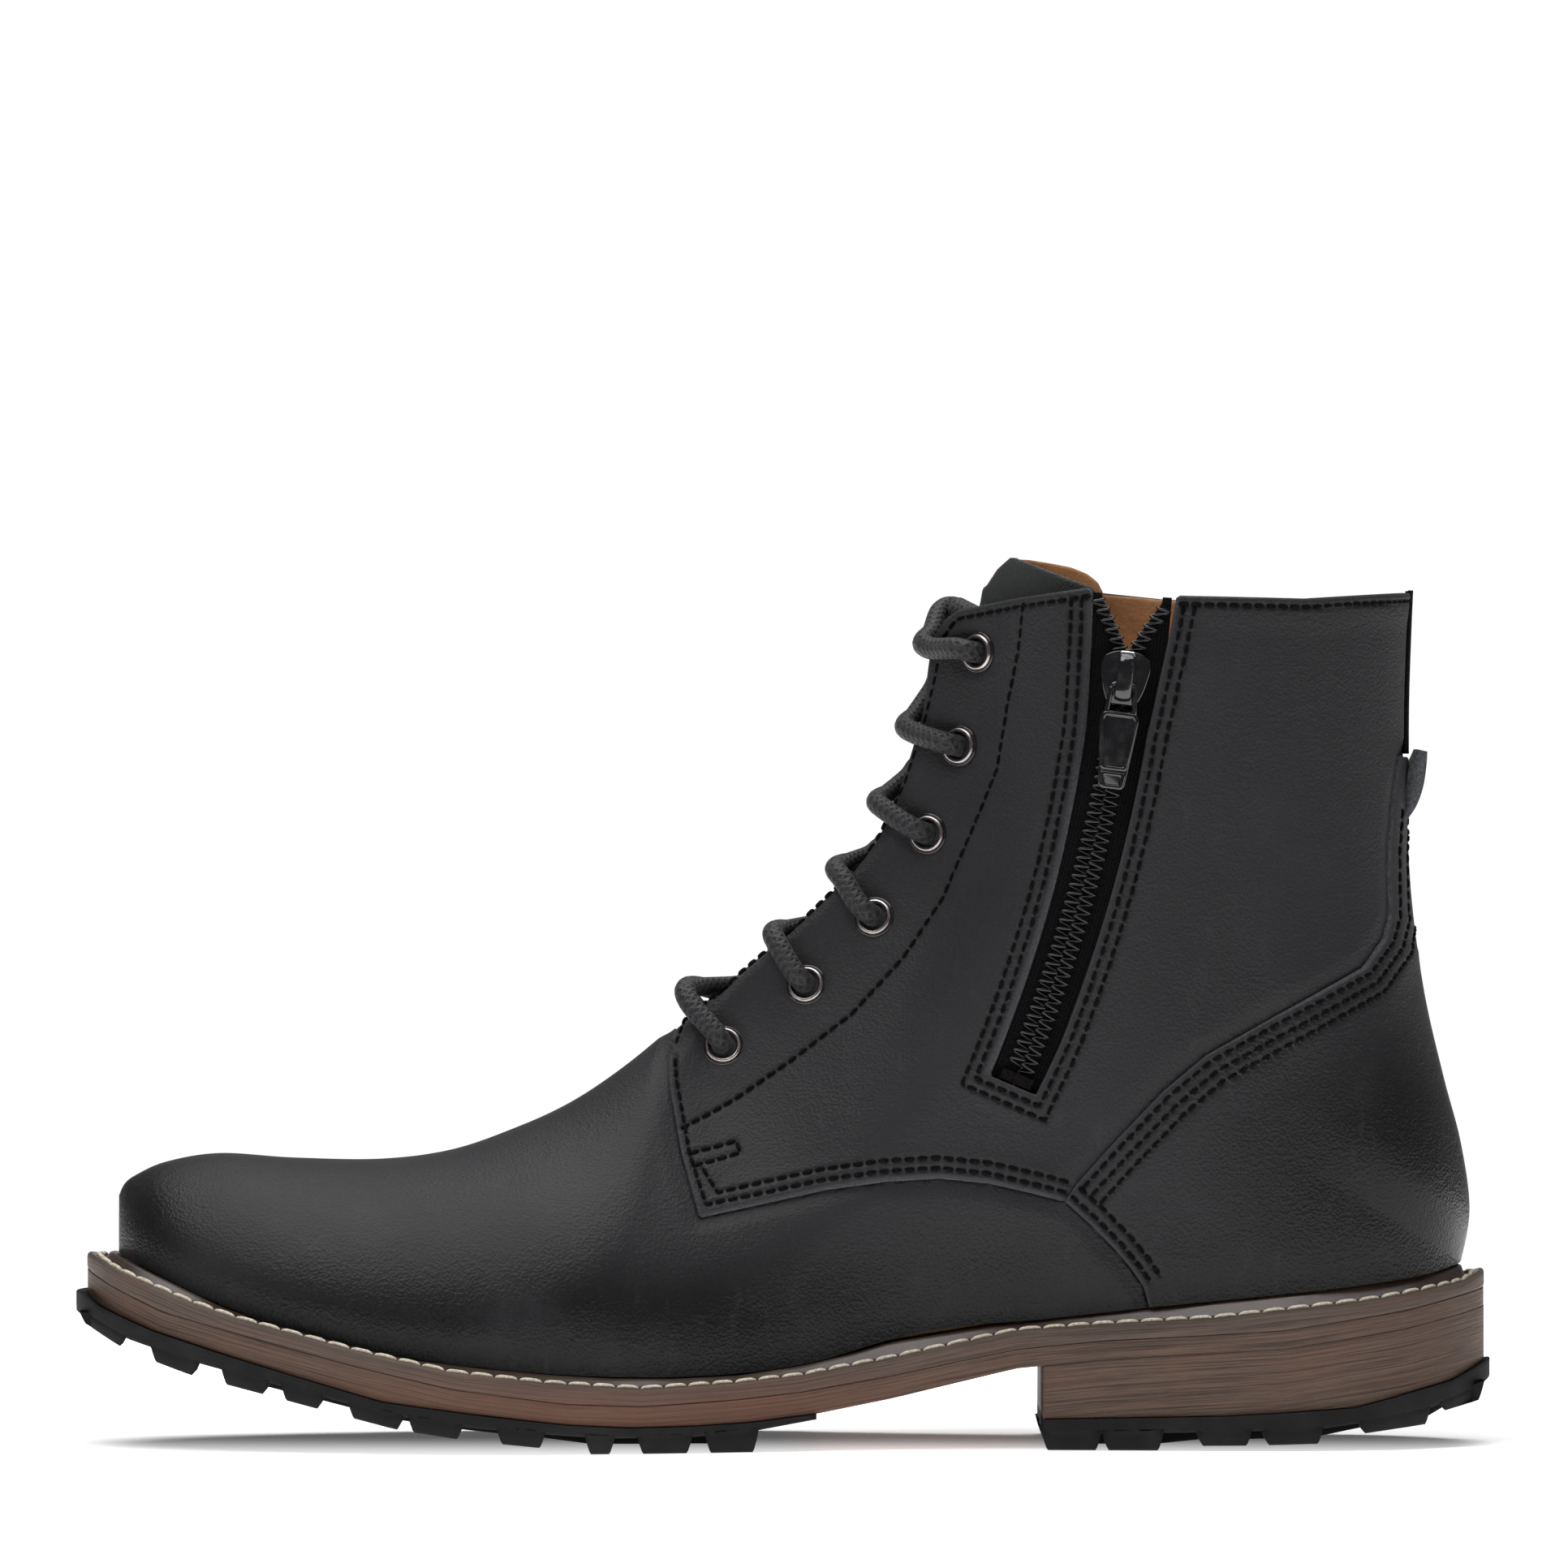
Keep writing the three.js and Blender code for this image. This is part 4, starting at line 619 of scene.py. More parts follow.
def capsules(path, normals, pitch, length, radius, sink=0.0, lift=0.0, sides=8, tilt=0.0):
    """Stitches along a line of 3-D points: short rounded rods that dive in at both ends."""
    path = np.asarray(path, float)
    s = np.concatenate([[0], np.cumsum(np.linalg.norm(np.diff(path, axis=0), axis=1))])
    count = max(int(round(s[-1] / pitch)), 1)
    real = s[-1] / count
    length *= real / pitch
    profile = np.array([-1, -0.94, -0.8, -0.5, 0, 0.5, 0.8, 0.94, 1])
    parts = []
    for i in range(count):
        middle = (i + 0.5) * real
        at = middle + profile * length / 2
        centre = np.stack([np.interp(at, s, path[:, k]) for k in range(3)], 1)
        n = unit(np.stack([np.interp(at, s, normals[:, k]) for k in range(3)], 1))
        side = unit(np.cross(n, unit(np.gradient(centre, axis=0))))
        height = lift + radius * 0.9 * (1 - np.abs(profile) ** 4) - sink - radius * 0.9
        centre = centre + n * height[:, None] + side * (tilt * profile)[:, None]
        r = radius * np.sqrt(np.maximum(1 - np.abs(profile) ** 6, 0.02))
        p, f, _ = tube(centre, side, sides, r, r)
        parts.append((p, f))
    return parts


# ---------------------------------------------------------------- materials


class Shader:
    """A small helper for building node materials."""

    def __init__(self, name):
        self.material = bpy.data.materials.new(name)
        self.material.use_nodes = True
        self.nodes = self.material.node_tree.nodes
        self.links = self.material.node_tree.links
        self.bsdf = self.nodes["Principled BSDF"]

    def node(self, kind, inputs=None, **settings):
        node = self.nodes.new(kind)
        for key, value in settings.items():
            setattr(node, key, value)
        for key, value in (inputs or {}).items():
            if hasattr(value, "bl_idname") and "Socket" in value.bl_idname:
                self.links.new(value, node.inputs[key])
            else:
                node.inputs[key].default_value = value
        return node

    def set(self, **values):
        for key, value in values.items():
            socket = self.bsdf.inputs[key.replace("_", " ")]
            if hasattr(value, "bl_idname") and "Socket" in value.bl_idname:
                self.links.new(value, socket)
            else:
                socket.default_value = value
        return self

    def place(self, scale=(1, 1, 1), rotation=(0, 0, 0)):
        coordinates = self.node("ShaderNodeTexCoord")
        mapping = self.node("ShaderNodeMapping", {"Vector": coordinates.outputs["Object"]})
        mapping.inputs["Scale"].default_value = scale
        mapping.inputs["Rotation"].default_value = rotation
        return mapping.outputs["Vector"]

    def uv(self, scale=(1, 1, 1)):
        coordinates = self.node("ShaderNodeTexCoord")
        mapping = self.node("ShaderNodeMapping", {"Vector": coordinates.outputs["UV"]})
        mapping.inputs["Scale"].default_value = scale
        return mapping.outputs["Vector"]

    def noise(self, vector, scale, detail=4, roughness=0.6, distortion=0.0):
        return self.node("ShaderNodeTexNoise", {
            "Vector": vector, "Scale": scale, "Detail": detail, "Roughness": roughness,
            "Distortion": distortion}).outputs["Fac"]

    def voronoi(self, vector, scale, feature="F1"):
        return self.node("ShaderNodeTexVoronoi", {"Vector": vector, "Scale": scale},
                         feature=feature).outputs["Distance"]

    def math(self, operation, a, b=0.0):
        node = self.node("ShaderNodeMath", operation=operation)
        for socket, value in zip(node.inputs, (a, b)):
            if hasattr(value, "bl_idname"):
                self.links.new(value, socket)
            else:
                socket.default_value = value
        return node.outputs[0]

    def remap(self, value, from_min, from_max, to_min=0.0, to_max=1.0, kind="SMOOTHSTEP"):
        return self.node("ShaderNodeMapRange", {
            "Value": value, "From Min": from_min, "From Max": from_max, "To Min": to_min, "To Max": to_max},
            interpolation_type=kind).outputs["Result"]

    def mix(self, factor, a, b, blend="MIX"):
        node = self.node("ShaderNodeMix", data_type="RGBA", blend_type=blend)
        for key, value in (("Factor", factor), ("A", a), ("B", b)):
            socket = [s for s in node.inputs if s.name == key and s.type in
                      (("VALUE",) if key == "Factor" else ("RGBA",))][0]
            if hasattr(value, "bl_idname"):
                self.links.new(value, socket)
            else:
                socket.default_value = value if key == "Factor" else (*value, 1)
        return [s for s in node.outputs if s.type == "RGBA"][0]

    def attribute(self, name):
        return self.node("ShaderNodeAttribute", attribute_name=name).outputs["Fac"]

    def bump(self, height, distance, strength=1.0, normal=None):
        node = self.node("ShaderNodeBump", {"Height": height, "Distance": distance, "Strength": strength})
        if normal is not None:
            self.links.new(normal, node.inputs["Normal"])
        return node.outputs["Normal"]

    def position(self):
        coordinates = self.node("ShaderNodeTexCoord")
        split = self.node("ShaderNodeSeparateXYZ", {0: coordinates.outputs["Object"]})
        return split.outputs


def black_leather(name="waxed_leather", base=(0.0165, 0.0163, 0.0180), dark=(0.0035, 0.0035, 0.0042)):
    s = Shader(name)
    at = s.place()
    mottle = s.noise(at, 26, 5, 0.62, 0.3)
    cloud = s.noise(at, 9, 3, 0.5)
    grain = s.noise(at, 900, 3, 0.7)
    pores = s.voronoi(at, 1500)
    fibre = s.noise(s.place((1, 1, 0.35), (0, 0.5, 0)), 260, 4, 0.7, 1.2)
    x, _, z = s.position()
    # Darkening mask: the low toe tip and the random cloud patches are a burnished finish; the darkening
    # towards the bottom by the welt and over the heel counter is painted shade.
    toe = s.math("MULTIPLY", s.remap(x, -0.112, -0.146), s.remap(z, 0.075, 0.05))
    feather = s.remap(z, 0.058, 0.022)
    heel = s.math("MULTIPLY", s.remap(x, 0.08, 0.14), s.remap(z, 0.115, 0.06))
    burnish_and_shade = s.math("MAXIMUM", s.math("MAXIMUM", toe, s.math("MULTIPLY", feather, 0.9)), heel)
    burnish_and_shade = s.math("ADD", burnish_and_shade, s.remap(cloud, 0.42, 0.7, 0.0, 0.34))
    colour = s.mix(s.remap(burnish_and_shade, 0.0, 1.0), base, dark)
    lighter = tuple(min(1.0, c * 1.55) for c in base)
    colour = s.mix(s.math("MULTIPLY", s.remap(mottle, 0.5, 0.78), 0.55), colour, lighter)
    colour = s.mix(s.math("MULTIPLY", s.remap(fibre, 0.55, 0.8), 0.22), colour, (0.042, 0.042, 0.044))
    edge = s.attribute("edge")
    worn = s.remap(edge, 0.9, 0.1)
    colour = s.mix(s.math("MULTIPLY", worn, 0.5), colour, (0.045, 0.047, 0.052))
    rough = s.remap(mottle, 0.3, 0.75, 0.47, 0.62, "LINEAR")
    rough = s.math("SUBTRACT", rough, s.math("MULTIPLY", s.remap(burnish_and_shade, 0.1, 0.9), 0.13))
    height = s.math("ADD", s.math("MULTIPLY", grain, 0.6), s.math("MULTIPLY", pores, 0.7))
    soft = s.noise(s.place((1, 1, 1.6)), 70, 4, 0.6, 0.6)
    normal = s.bump(soft, 0.0004, 0.35)
    normal = s.bump(height, 0.0002, 0.8, normal)
    s.set(Base_Color=colour, Roughness=rough, Normal=normal)
    s.set(Specular_IOR_Level=0.2, Sheen_Weight=0.02, Sheen_Roughness=0.5)
    return s.material


def raw_edge_leather():
    s = Shader("cut_edge")
    at = s.place()
    fuzz = s.noise(at, 1400, 3, 0.7)
    colour = s.mix(s.remap(fuzz, 0.35, 0.7), (0.030, 0.031, 0.035), (0.085, 0.088, 0.096))
    s.set(Base_Color=colour, Roughness=0.85, Normal=s.bump(fuzz, 0.0002, 0.8))
    return s.material


def tan_leather(name, base, deep):
    s = Shader(name)
    at = s.place()
    mottle = s.noise(at, 30, 4, 0.6)
    grain = s.voronoi(at, 1100)
    crease = s.noise(s.place((1, 1, 0.3), (0.4, 0.2, 0)), 95, 4, 0.62, 1.4)
    colour = s.mix(s.remap(mottle, 0.35, 0.72), base, deep)
    # The crease valleys are darkened in colour: painted shade in the creases.
    colour = s.mix(s.math("MULTIPLY", s.remap(crease, 0.45, 0.3), 0.35), colour, deep)
    normal = s.bump(crease, 0.0011, 0.6)
    normal = s.bump(grain, 0.00012, 0.5, normal)
    s.set(Base_Color=colour, Roughness=0.55, Normal=normal, Specular_IOR_Level=0.35)
    return s.material


def stacked_leather(name="stacked_leather", light=(0.115, 0.070, 0.048), dark=(0.024, 0.015, 0.011)):
    """Edge of the sole: UV u runs along the edge in millimetres and v across it."""
    s = Shader(name)
    streak = s.noise(s.uv((0.022, 2.4, 1)), 1.0, 5, 0.75, 0.1)
    fine = s.noise(s.uv((0.08, 7.5, 1)), 1.0, 4, 0.75, 0.1)
    blotch = s.noise(s.uv((0.05, 0.16, 1)), 1.0, 4, 0.6, 0.5)
    pore = s.noise(s.uv((0.5, 9, 1)), 1.0, 3, 0.7)
    colour = s.mix(s.remap(streak, 0.38, 0.66), light, dark)
    colour = s.mix(s.math("MULTIPLY", s.remap(fine, 0.48, 0.66), 0.75), colour, dark)
    red = (light[0] * 1.15, light[1] * 0.75, light[2] * 0.65)
    x, _, z = s.position()
    low = s.math("MULTIPLY", s.remap(x, 0.06, 0.0), s.remap(z, 0.022, 0.008))
    redness = s.math("ADD", s.math("MULTIPLY", s.remap(blotch, 0.5, 0.7), 0.2), s.math("MULTIPLY", low, 0.5))
    colour = s.mix(redness, colour, red)
    colour = s.mix(s.math("MULTIPLY", s.remap(pore, 0.62, 0.75), 0.35), colour, (0.3, 0.22, 0.17))
    height = s.math("ADD", s.math("MULTIPLY", streak, 0.7), s.math("MULTIPLY", fine, 0.6))
    normal = s.bump(height, 0.0003, 0.6)
    s.set(Base_Color=colour, Roughness=s.remap(fine, 0.3, 0.7, 0.42, 0.62, "LINEAR"), Normal=normal)
    s.set(Specular_IOR_Level=0.3)
    return s.material


def matt_rubber():
    s = Shader("rubber")
    at = s.place()
    dust = s.noise(at, 60, 4, 0.6)
    speck = s.noise(at, 1100, 2, 0.6)
    colour = s.mix(s.remap(dust, 0.4, 0.75), (0.006, 0.006, 0.0065), (0.013, 0.013, 0.0135))
    normal = s.bump(speck, 0.00015, 0.5)
    s.set(Base_Color=colour, Roughness=0.7, Normal=normal, Specular_IOR_Level=0.16)
    return s.material


def waxed_welt():
    s = Shader("welt_top")
    at = s.place()
    mottle = s.noise(at, 60, 4, 0.6)
    fine = s.noise(at, 500, 3, 0.7)
    colour = s.mix(s.remap(mottle, 0.35, 0.7), (0.030, 0.017, 0.012), (0.062, 0.038, 0.028))
    s.set(Base_Color=colour, Roughness=0.36, Normal=s.bump(fine, 0.00015, 0.5))
    return s.material


def thread(name, colour, lighter):
    s = Shader(name)
    at = s.place()
    strand = s.noise(at, 1500, 2, 0.6)
    mixed = s.mix(s.remap(strand, 0.35, 0.7), colour, lighter)
    s.set(Base_Color=mixed, Roughness=0.8, Normal=s.bump(strand, 0.0002, 0.7), Specular_IOR_Level=0.05)
    return s.material


def braided_cord():
    """UV u runs along the lace in millimetres and v once around it."""
    s = Shader("braided_cord")
    def strands(sign):
        at = s.uv((1 / 1.6, 6 * sign, 1))
        split = s.node("ShaderNodeSeparateXYZ", {0: at}).outputs
        phase = s.math("ADD", split[0], split[1])
        return s.math("SINE", s.math("MULTIPLY", phase, 2 * math.pi))
    left, right = strands(1), strands(-1)
    weave = s.math("MAXIMUM", left, right)
    fluff = s.noise(s.place(), 1600, 3, 0.7)
    # The cord is coloured darker in the grooves between the strands and lighter on their crests: painted
    # shade between the strands.
    colour = s.mix(s.remap(weave, 0.1, 0.95), (0.006, 0.006, 0.0068), (0.016, 0.016, 0.0185))
    colour = s.mix(s.math("MULTIPLY", s.remap(fluff, 0.55, 0.75), 0.4), colour, (0.045, 0.045, 0.05))
    normal = s.bump(weave, 0.0002, 0.6)
    normal = s.bump(fluff, 0.0001, 0.5, normal)
    s.set(Base_Color=colour, Roughness=0.55, Normal=normal, Sheen_Weight=0.08, Specular_IOR_Level=0.35)
    return s.material


def metal(name, colour, roughness):
    s = Shader(name)
    at = s.place()
    scuff = s.noise(at, 400, 4, 0.65)
    darker = tuple(c * 0.72 for c in colour)
    mixed = s.mix(s.remap(scuff, 0.35, 0.7), colour, darker)
    rough = s.remap(scuff, 0.3, 0.7, roughness, roughness + 0.12, "LINEAR")
    s.set(Base_Color=mixed, Metallic=1.0, Roughness=rough)
    s.set(Normal=s.bump(scuff, 0.00003, 0.4))
    return s.material


def lacquer():
    s = Shader("black_lacquer")
    at = s.place()
    scuff = s.noise(at, 300, 4, 0.6)
    mixed = s.mix(s.remap(scuff, 0.45, 0.75), (0.006, 0.006, 0.007), (0.02, 0.02, 0.022))
    s.set(Base_Color=mixed, Roughness=s.remap(scuff, 0.35, 0.75, 0.1, 0.24, "LINEAR"), Coat_Weight=0.5)
    s.set(Normal=s.bump(scuff, 0.00004, 0.4))
    return s.material


def nylon():
    s = Shader("nylon_coil")
    speck = s.noise(s.place(), 900, 2, 0.6)
    colour = s.mix(s.remap(speck, 0.4, 0.7), (0.003, 0.003, 0.0035), (0.007, 0.007, 0.008))
    s.set(Base_Color=colour, Roughness=0.2, Normal=s.bump(speck, 0.00003, 0.3))
    return s.material


def woven_tape():
    """A black herringbone tape, woven in its own UV millimetres."""
    s = Shader("woven_tape")
    at = s.uv()
    split = s.node("ShaderNodeSeparateXYZ", {0: at}).outputs
    rib = s.math("SINE", s.math("MULTIPLY", split[0], 2 * math.pi / 0.7))
    row = s.math("SINE", s.math("MULTIPLY", s.math("ADD", split[1], s.math("MULTIPLY", split[0], 0.6)),
                                2 * math.pi / 0.55))
    weave = s.math("MAXIMUM", rib, row)
    # The tape is coloured darker in the grooves of the weave and lighter on its ribs: painted shade between
    # the threads.
    colour = s.mix(s.remap(weave, -0.2, 1), (0.002, 0.002, 0.0025), (0.007, 0.007, 0.008))
    s.set(Base_Color=colour, Roughness=0.85, Normal=s.bump(weave, 0.0002, 0.8), Specular_IOR_Level=0.1)
    return s.material


def plain(name, a, b, scale, roughness):
    s = Shader(name)
    at = s.place()
    mottle = s.noise(at, scale, 4, 0.6)
    s.set(Base_Color=s.mix(s.remap(mottle, 0.35, 0.7), a, b), Roughness=roughness,
          Normal=s.bump(mottle, 0.0002, 0.5))
    return s.material


LEATHER = black_leather()
TONGUE_LEATHER = black_leather("tongue_leather", (0.030, 0.034, 0.032), (0.012, 0.013, 0.013))
CUT_EDGE = raw_edge_leather()
SUEDE = plain("raw_suede_edge", (0.14, 0.085, 0.06), (0.22, 0.14, 0.1), 500, 0.9)
FLESH = plain("flesh_side", (0.09, 0.065, 0.05), (0.13, 0.095, 0.075), 300, 0.9)
TAN = tan_leather("tan_lining", (0.42, 0.205, 0.085), (0.25, 0.105, 0.04))
TAN_EDGE = plain("tan_edge", (0.36, 0.2, 0.11), (0.48, 0.29, 0.17), 700, 0.85)
STACK = stacked_leather()
WELT_EDGE = stacked_leather("welt_edge", (0.100, 0.068, 0.051), (0.032, 0.021, 0.017))
ARCH = plain("arch_sole", (0.25, 0.10, 0.05), (0.16, 0.06, 0.035), 90, 0.5)
WELT_WAX = waxed_welt()
RUBBER = matt_rubber()
BLACK_THREAD = thread("black_thread", (0.002, 0.0018, 0.002), (0.007, 0.0055, 0.006))
IVORY_THREAD = thread("ivory_thread", (0.50, 0.44, 0.34), (0.74, 0.69, 0.58))
CORD = braided_cord()
GUNMETAL = metal("gunmetal", (0.42, 0.37, 0.36), 0.2)
BRIGHT = metal("bright_nickel", (0.75, 0.75, 0.77), 0.12)
LACQUER = lacquer()
NYLON = nylon()
TAPE = woven_tape()
STEEL = metal("steel", (0.55, 0.55, 0.56), 0.32)
CORK = plain("pressed_cork", (0.36, 0.22, 0.12), (0.2, 0.11, 0.055), 400, 0.9)
BOARD = plain("fibre_board", (0.42, 0.3, 0.18), (0.33, 0.23, 0.14), 260, 0.85)

# ---------------------------------------------------------------- panels of the upper

quarter_edge = QUARTER_FRONT + QUARTER_BOTTOM + [COUNTER_CORNER]
quarter_outline = quarter_edge + COUNTER_TOP + [(150, 149.5)] + COLLAR_REAR + COLLAR_FRONT + [(-45, 110)]
counter_outline = COUNTER_FRONT[::-1] + COUNTER_TOP + [(160, 149.8), (160, 0), (80, 0)]
hidden_rise = [tuple(p) for p in offset_line(COUNTER_TOP, -6)]
quarter_hidden = (quarter_edge + [(66, 51)] + hidden_rise + [(150, 143)] + COLLAR_REAR + COLLAR_FRONT
                  + [(-45, 110)])


def over(outline, patch):
    return signed(patch.xyz[:, 0], patch.xyz[:, 2], outline, patch.normal)


def throat_field(patch):
    return THROAT - np.abs(patch.xyz[:, 1]) + np.where(patch.xyz[:, 0] > 90, -99, 0)


def slot_field(patch, grow=0.0):
    """Negative inside the zip's slot."""
    dx, dz = patch.xyz[:, 0] - ZIP_CENTRE[0], patch.xyz[:, 2] - ZIP_CENTRE[1]
    off = np.hypot(dx, dz) - ZIP_RADIUS
    degrees = np.degrees(np.arctan2(-dz, dx))
    below = (degrees - ZIP_BOTTOM) * math.radians(ZIP_RADIUS)
    front = -off - along(SLOT_FRONT, degrees)
    rear = off - along(SLOT_REAR, degrees)
    side = np.maximum(front, rear)
    corner = np.where(side > 0, np.hypot(side, np.maximum(below, 0)), below)
    return np.where((below > 0) & (side > 0), corner, np.maximum(side, below)) - grow


def seam_groove(patch, lines, depth=0.42, radius=1.15):
    value = np.zeros(len(patch.a))
    for line in lines:
        d = line_field(patch, line)
        value = np.maximum(value, depth * np.exp(-((d / (radius * 0.45)) ** 2)))
    return value


def edge_roll(distance, radius=0.8, drop=0.42):
    """How much the surface drops towards a cut edge; distance is negative inside."""
    t = clamp(1 + distance / radius)
    return drop * t ** 2.4


row_low = offset_line(quarter_edge[4:], 1.9)
row_high = offset_line(quarter_edge[4:], 4.2)
corner_low = (-16.6, 52.7)
corner_high = (-14.2, 55.3)
SEAM_FRONT = [(-23.4, 84), (-22.9, 78.9), (-20.2, 63.6), corner_low] + [tuple(p) for p in row_low[1:]]
SEAM_SECOND = [(-17.5, 60.6), corner_high] + [tuple(p) for p in row_high[1:]]
quarter_seams = [SEAM_FRONT, SEAM_SECOND, BAR_TACK, EYESTAY]
collar_front_seam = [tuple(p) for p in offset_line(COLLAR_FRONT[:-1], 1.9)]
collar_rear_seam = [tuple(p) for p in offset_line(COLLAR_REAR, 1.9)]
counter_rows = [[tuple(p) for p in offset_line(COUNTER_TOP[:-1], -d)] for d in (1.7, 4.2, 6.7)]
counter_front_rows = [[tuple(p) for p in offset_line(COUNTER_FRONT[:-1], d)] for d in (1.8, 4.3)]


def zip_seam(grow):
    """A stitch row outside the slot, with squared corners at the bottom."""
    low = ZIP_BOTTOM + grow / math.radians(ZIP_RADIUS)
    degrees = np.linspace(4.3, low, 24)

    def arc(d, off):
        turn = np.radians(d)
        radius = ZIP_RADIUS + off
        return np.stack([ZIP_CENTRE[0] + radius * np.cos(turn), ZIP_CENTRE[1] - radius * np.sin(turn)], 1)
    front = arc(degrees, -along(SLOT_FRONT, degrees) - grow)
    rear = arc(degrees[::-1], along(SLOT_REAR, degrees[::-1]) + grow)
    return [tuple(p) for p in np.vstack([front, rear])]


zip_seams = [zip_seam(1.9), zip_seam(4.2)]


def quarter_field(p, side):
    f = np.maximum(over(quarter_hidden, p), throat_field(p))
    return np.maximum(f, -slot_field(p)) if side < 0 else f


def quarter_rows(side):
    return quarter_seams + [collar_front_seam, collar_rear_seam] + (zip_seams if side < 0 else [])


def quarter_height(p, side):
    """Inset of the quarter's outer face: proud along its edges, sunk under the counter and the eyelets."""
    counter = over(counter_outline, p)
    sink = lerp(0, 0.8, smooth(4.5, -0.6, counter))
    sink = np.where(counter < -0.6, 1.3, sink)
    proud = lerp(-0.6, -0.15, smooth(1.5, 9, -quarter_field(p, side))) * smooth(-1, 5, counter)
    under_tape = (p.xyz[:, 0] > 120) & (p.xyz[:, 2] > 150) & (np.abs(p.xyz[:, 1]) < 7)
    proud = proud + np.where(under_tape, 0.5, 0)
    for x, z in EYELETS:
        proud = proud + 0.5 * smooth(6.5, 3.6, np.hypot(p.xyz[:, 0] - x, p.xyz[:, 2] - z))
    return proud, sink


def quarter_piece(side):
    name = "quarter_medial" if side < 0 else "quarter_lateral"
    patch = Patch(8.5, LAST, -1, 0) if side < 0 else Patch(8.5, LAST, 0, 1)
    patch.trim(lambda p: quarter_field(p, side))
    rows = quarter_rows(side)
    for row in rows:
        patch.groove_lines(row, (0.45, 0.95))
    distance = quarter_field(patch, side)
    proud, sink = quarter_height(patch, side)
    outer = proud + sink + seam_groove(patch, rows) + edge_roll(distance)
    inner = np.maximum(1.15, sink + 1.1)
    obj = thick_piece(name + "_panel", patch, outer, inner, [LEATHER, FLESH, CUT_EDGE], -distance)
    return finish_piece(obj, "boot", "upper_leather", name)


quarter_piece(-1)
quarter_piece(1)


def vamp_piece():
    patch = Patch(0, LAST - 9, -1, 1)

    def cover(p):
        return np.minimum(over(quarter_outline, p), over(counter_outline, p))

    def field(p):
        return -cover(p) - 5.5
    patch.trim(field, rings=())
    patch.cut(lambda p: cover(p), 0.0, False)
    patch.cut(lambda p: cover(p), 0.8, False)
    distance = cover(patch)
    sink = lerp(0, 0.75, smooth(4.5, 0.3, distance))
    sink = np.where(distance < 0, 1.2, sink)
    obj = thick_piece("vamp_panel", patch, sink, np.maximum(1.6, sink + 0.7), [LEATHER, FLESH, CUT_EDGE],
                      np.full(len(patch.a), 30.0))
    return finish_piece(obj, "boot", "upper_leather", "vamp")


vamp_piece()


def counter_height(p):
    return lerp(-0.55, 0.0, smooth(4, 16, -over(counter_outline, p)))


def counter_piece():
    left = Patch(11, 23.7, -1, -0.2)
    right = Patch(11, 23.7, 0.2, 1)
    start = len(left.a)
    left.a = np.concatenate([left.a, right.a])
    left.u = np.concatenate([left.u, right.u])
    left.tris = np.concatenate([left.tris, right.tris + start])
    left.place()
    patch = left

    patch.trim(lambda p: over(counter_outline, p))
    rows = counter_rows + counter_front_rows
    for row in rows:
        patch.groove_lines(row, (0.45, 0.95))
    distance = over(counter_outline, patch)
    outer = counter_height(patch) + seam_groove(patch, rows) + edge_roll(distance)
    inner = 1.0
    obj = thick_piece("counter_panel", patch, outer, np.full(len(patch.a), inner), [LEATHER, FLESH, CUT_EDGE],
                      -distance)
    return finish_piece(obj, "boot", "upper_leather", "counter_cover")


counter_piece()


class Spots:
    """Places of the upper's chart along a line."""

    def __init__(self, a, u):
        self.a, self.u = a, u
        self.xyz = skin(a, u)
        self.normal = skin_normal(a, u)


def stitch_piece(name, rows, side, height, pitch=2.8, length=2.1, radius=0.36):
    parts = []
    for row in rows:
        line = resample(row, 0.7)
        spots = Spots(*chart(line, side))
        reach = np.hypot(spots.xyz[:, 0] - line[:, 0], spots.xyz[:, 2] - line[:, 1])
        path = skin(spots.a, spots.u, height(spots) - 0.05)
        keep = reach < 0.5
        if keep.sum() > 3:
            parts += capsules(path[keep], spots.normal[keep], pitch, length, radius)
    points, faces = merge_parts(parts)
    obj = mesh_object(name, points, faces, [BLACK_THREAD])
    return finish_piece(obj, "boot", "upper_leather")


facing_row = [(-23.2, 86.5), (-21.4, 91.6), (-9.2, 101.9), (5.4, 114.4), (15.2, 123.9), (21.4, 132.2),
              (26.8, 143.6), (30.9, 156), (33.2, 166), (35, 175.6)]
for side, label in ((-1, "medial"), (1, "lateral")):
    rows = quarter_rows(side) + [facing_row]
    stitch_piece(f"quarter_stitches_{label}", rows, side, lambda p: sum(quarter_height(p, side)))
    stitch_piece(f"counter_stitches_{label}", counter_rows + counter_front_rows, side, counter_height)

# ---------------------------------------------------------------- linings, tongue and stiffeners


def lining_piece(side):
    name = "quarter_lining_medial" if side < 0 else "quarter_lining_lateral"
    patch = Patch(8.5, LAST, -1, 0, 2.4) if side < 0 else Patch(8.5, LAST, 0, 1, 2.4)
    outline = ([(-24, 120), (-20, 60), (-8, 15), (160, 0)] + [(x + 5, z - 0.5) for x, z in COLLAR_REAR]
               + [(x, z - 0.5) for x, z in COLLAR_FRONT])

    def field(p):
        f = np.maximum(over(outline, p), throat_field(p))
        return np.maximum(f, -slot_field(p, 1.2)) if side < 0 else f
    patch.trim(field, rings=(0.3, 0.8))
    distance = field(patch)
    roll = edge_roll(distance, 0.8, 0.3)
    depth = lerp(1.3, 2.95, smooth(2, 8, -distance))
    obj = thick_piece(name + "_skin", patch, depth + roll, 3.9 - roll, [TAN_EDGE, TAN, SUEDE], -distance)
    return finish_piece(obj, "boot", "lining_leather", name)


lining_piece(-1)
lining_piece(1)

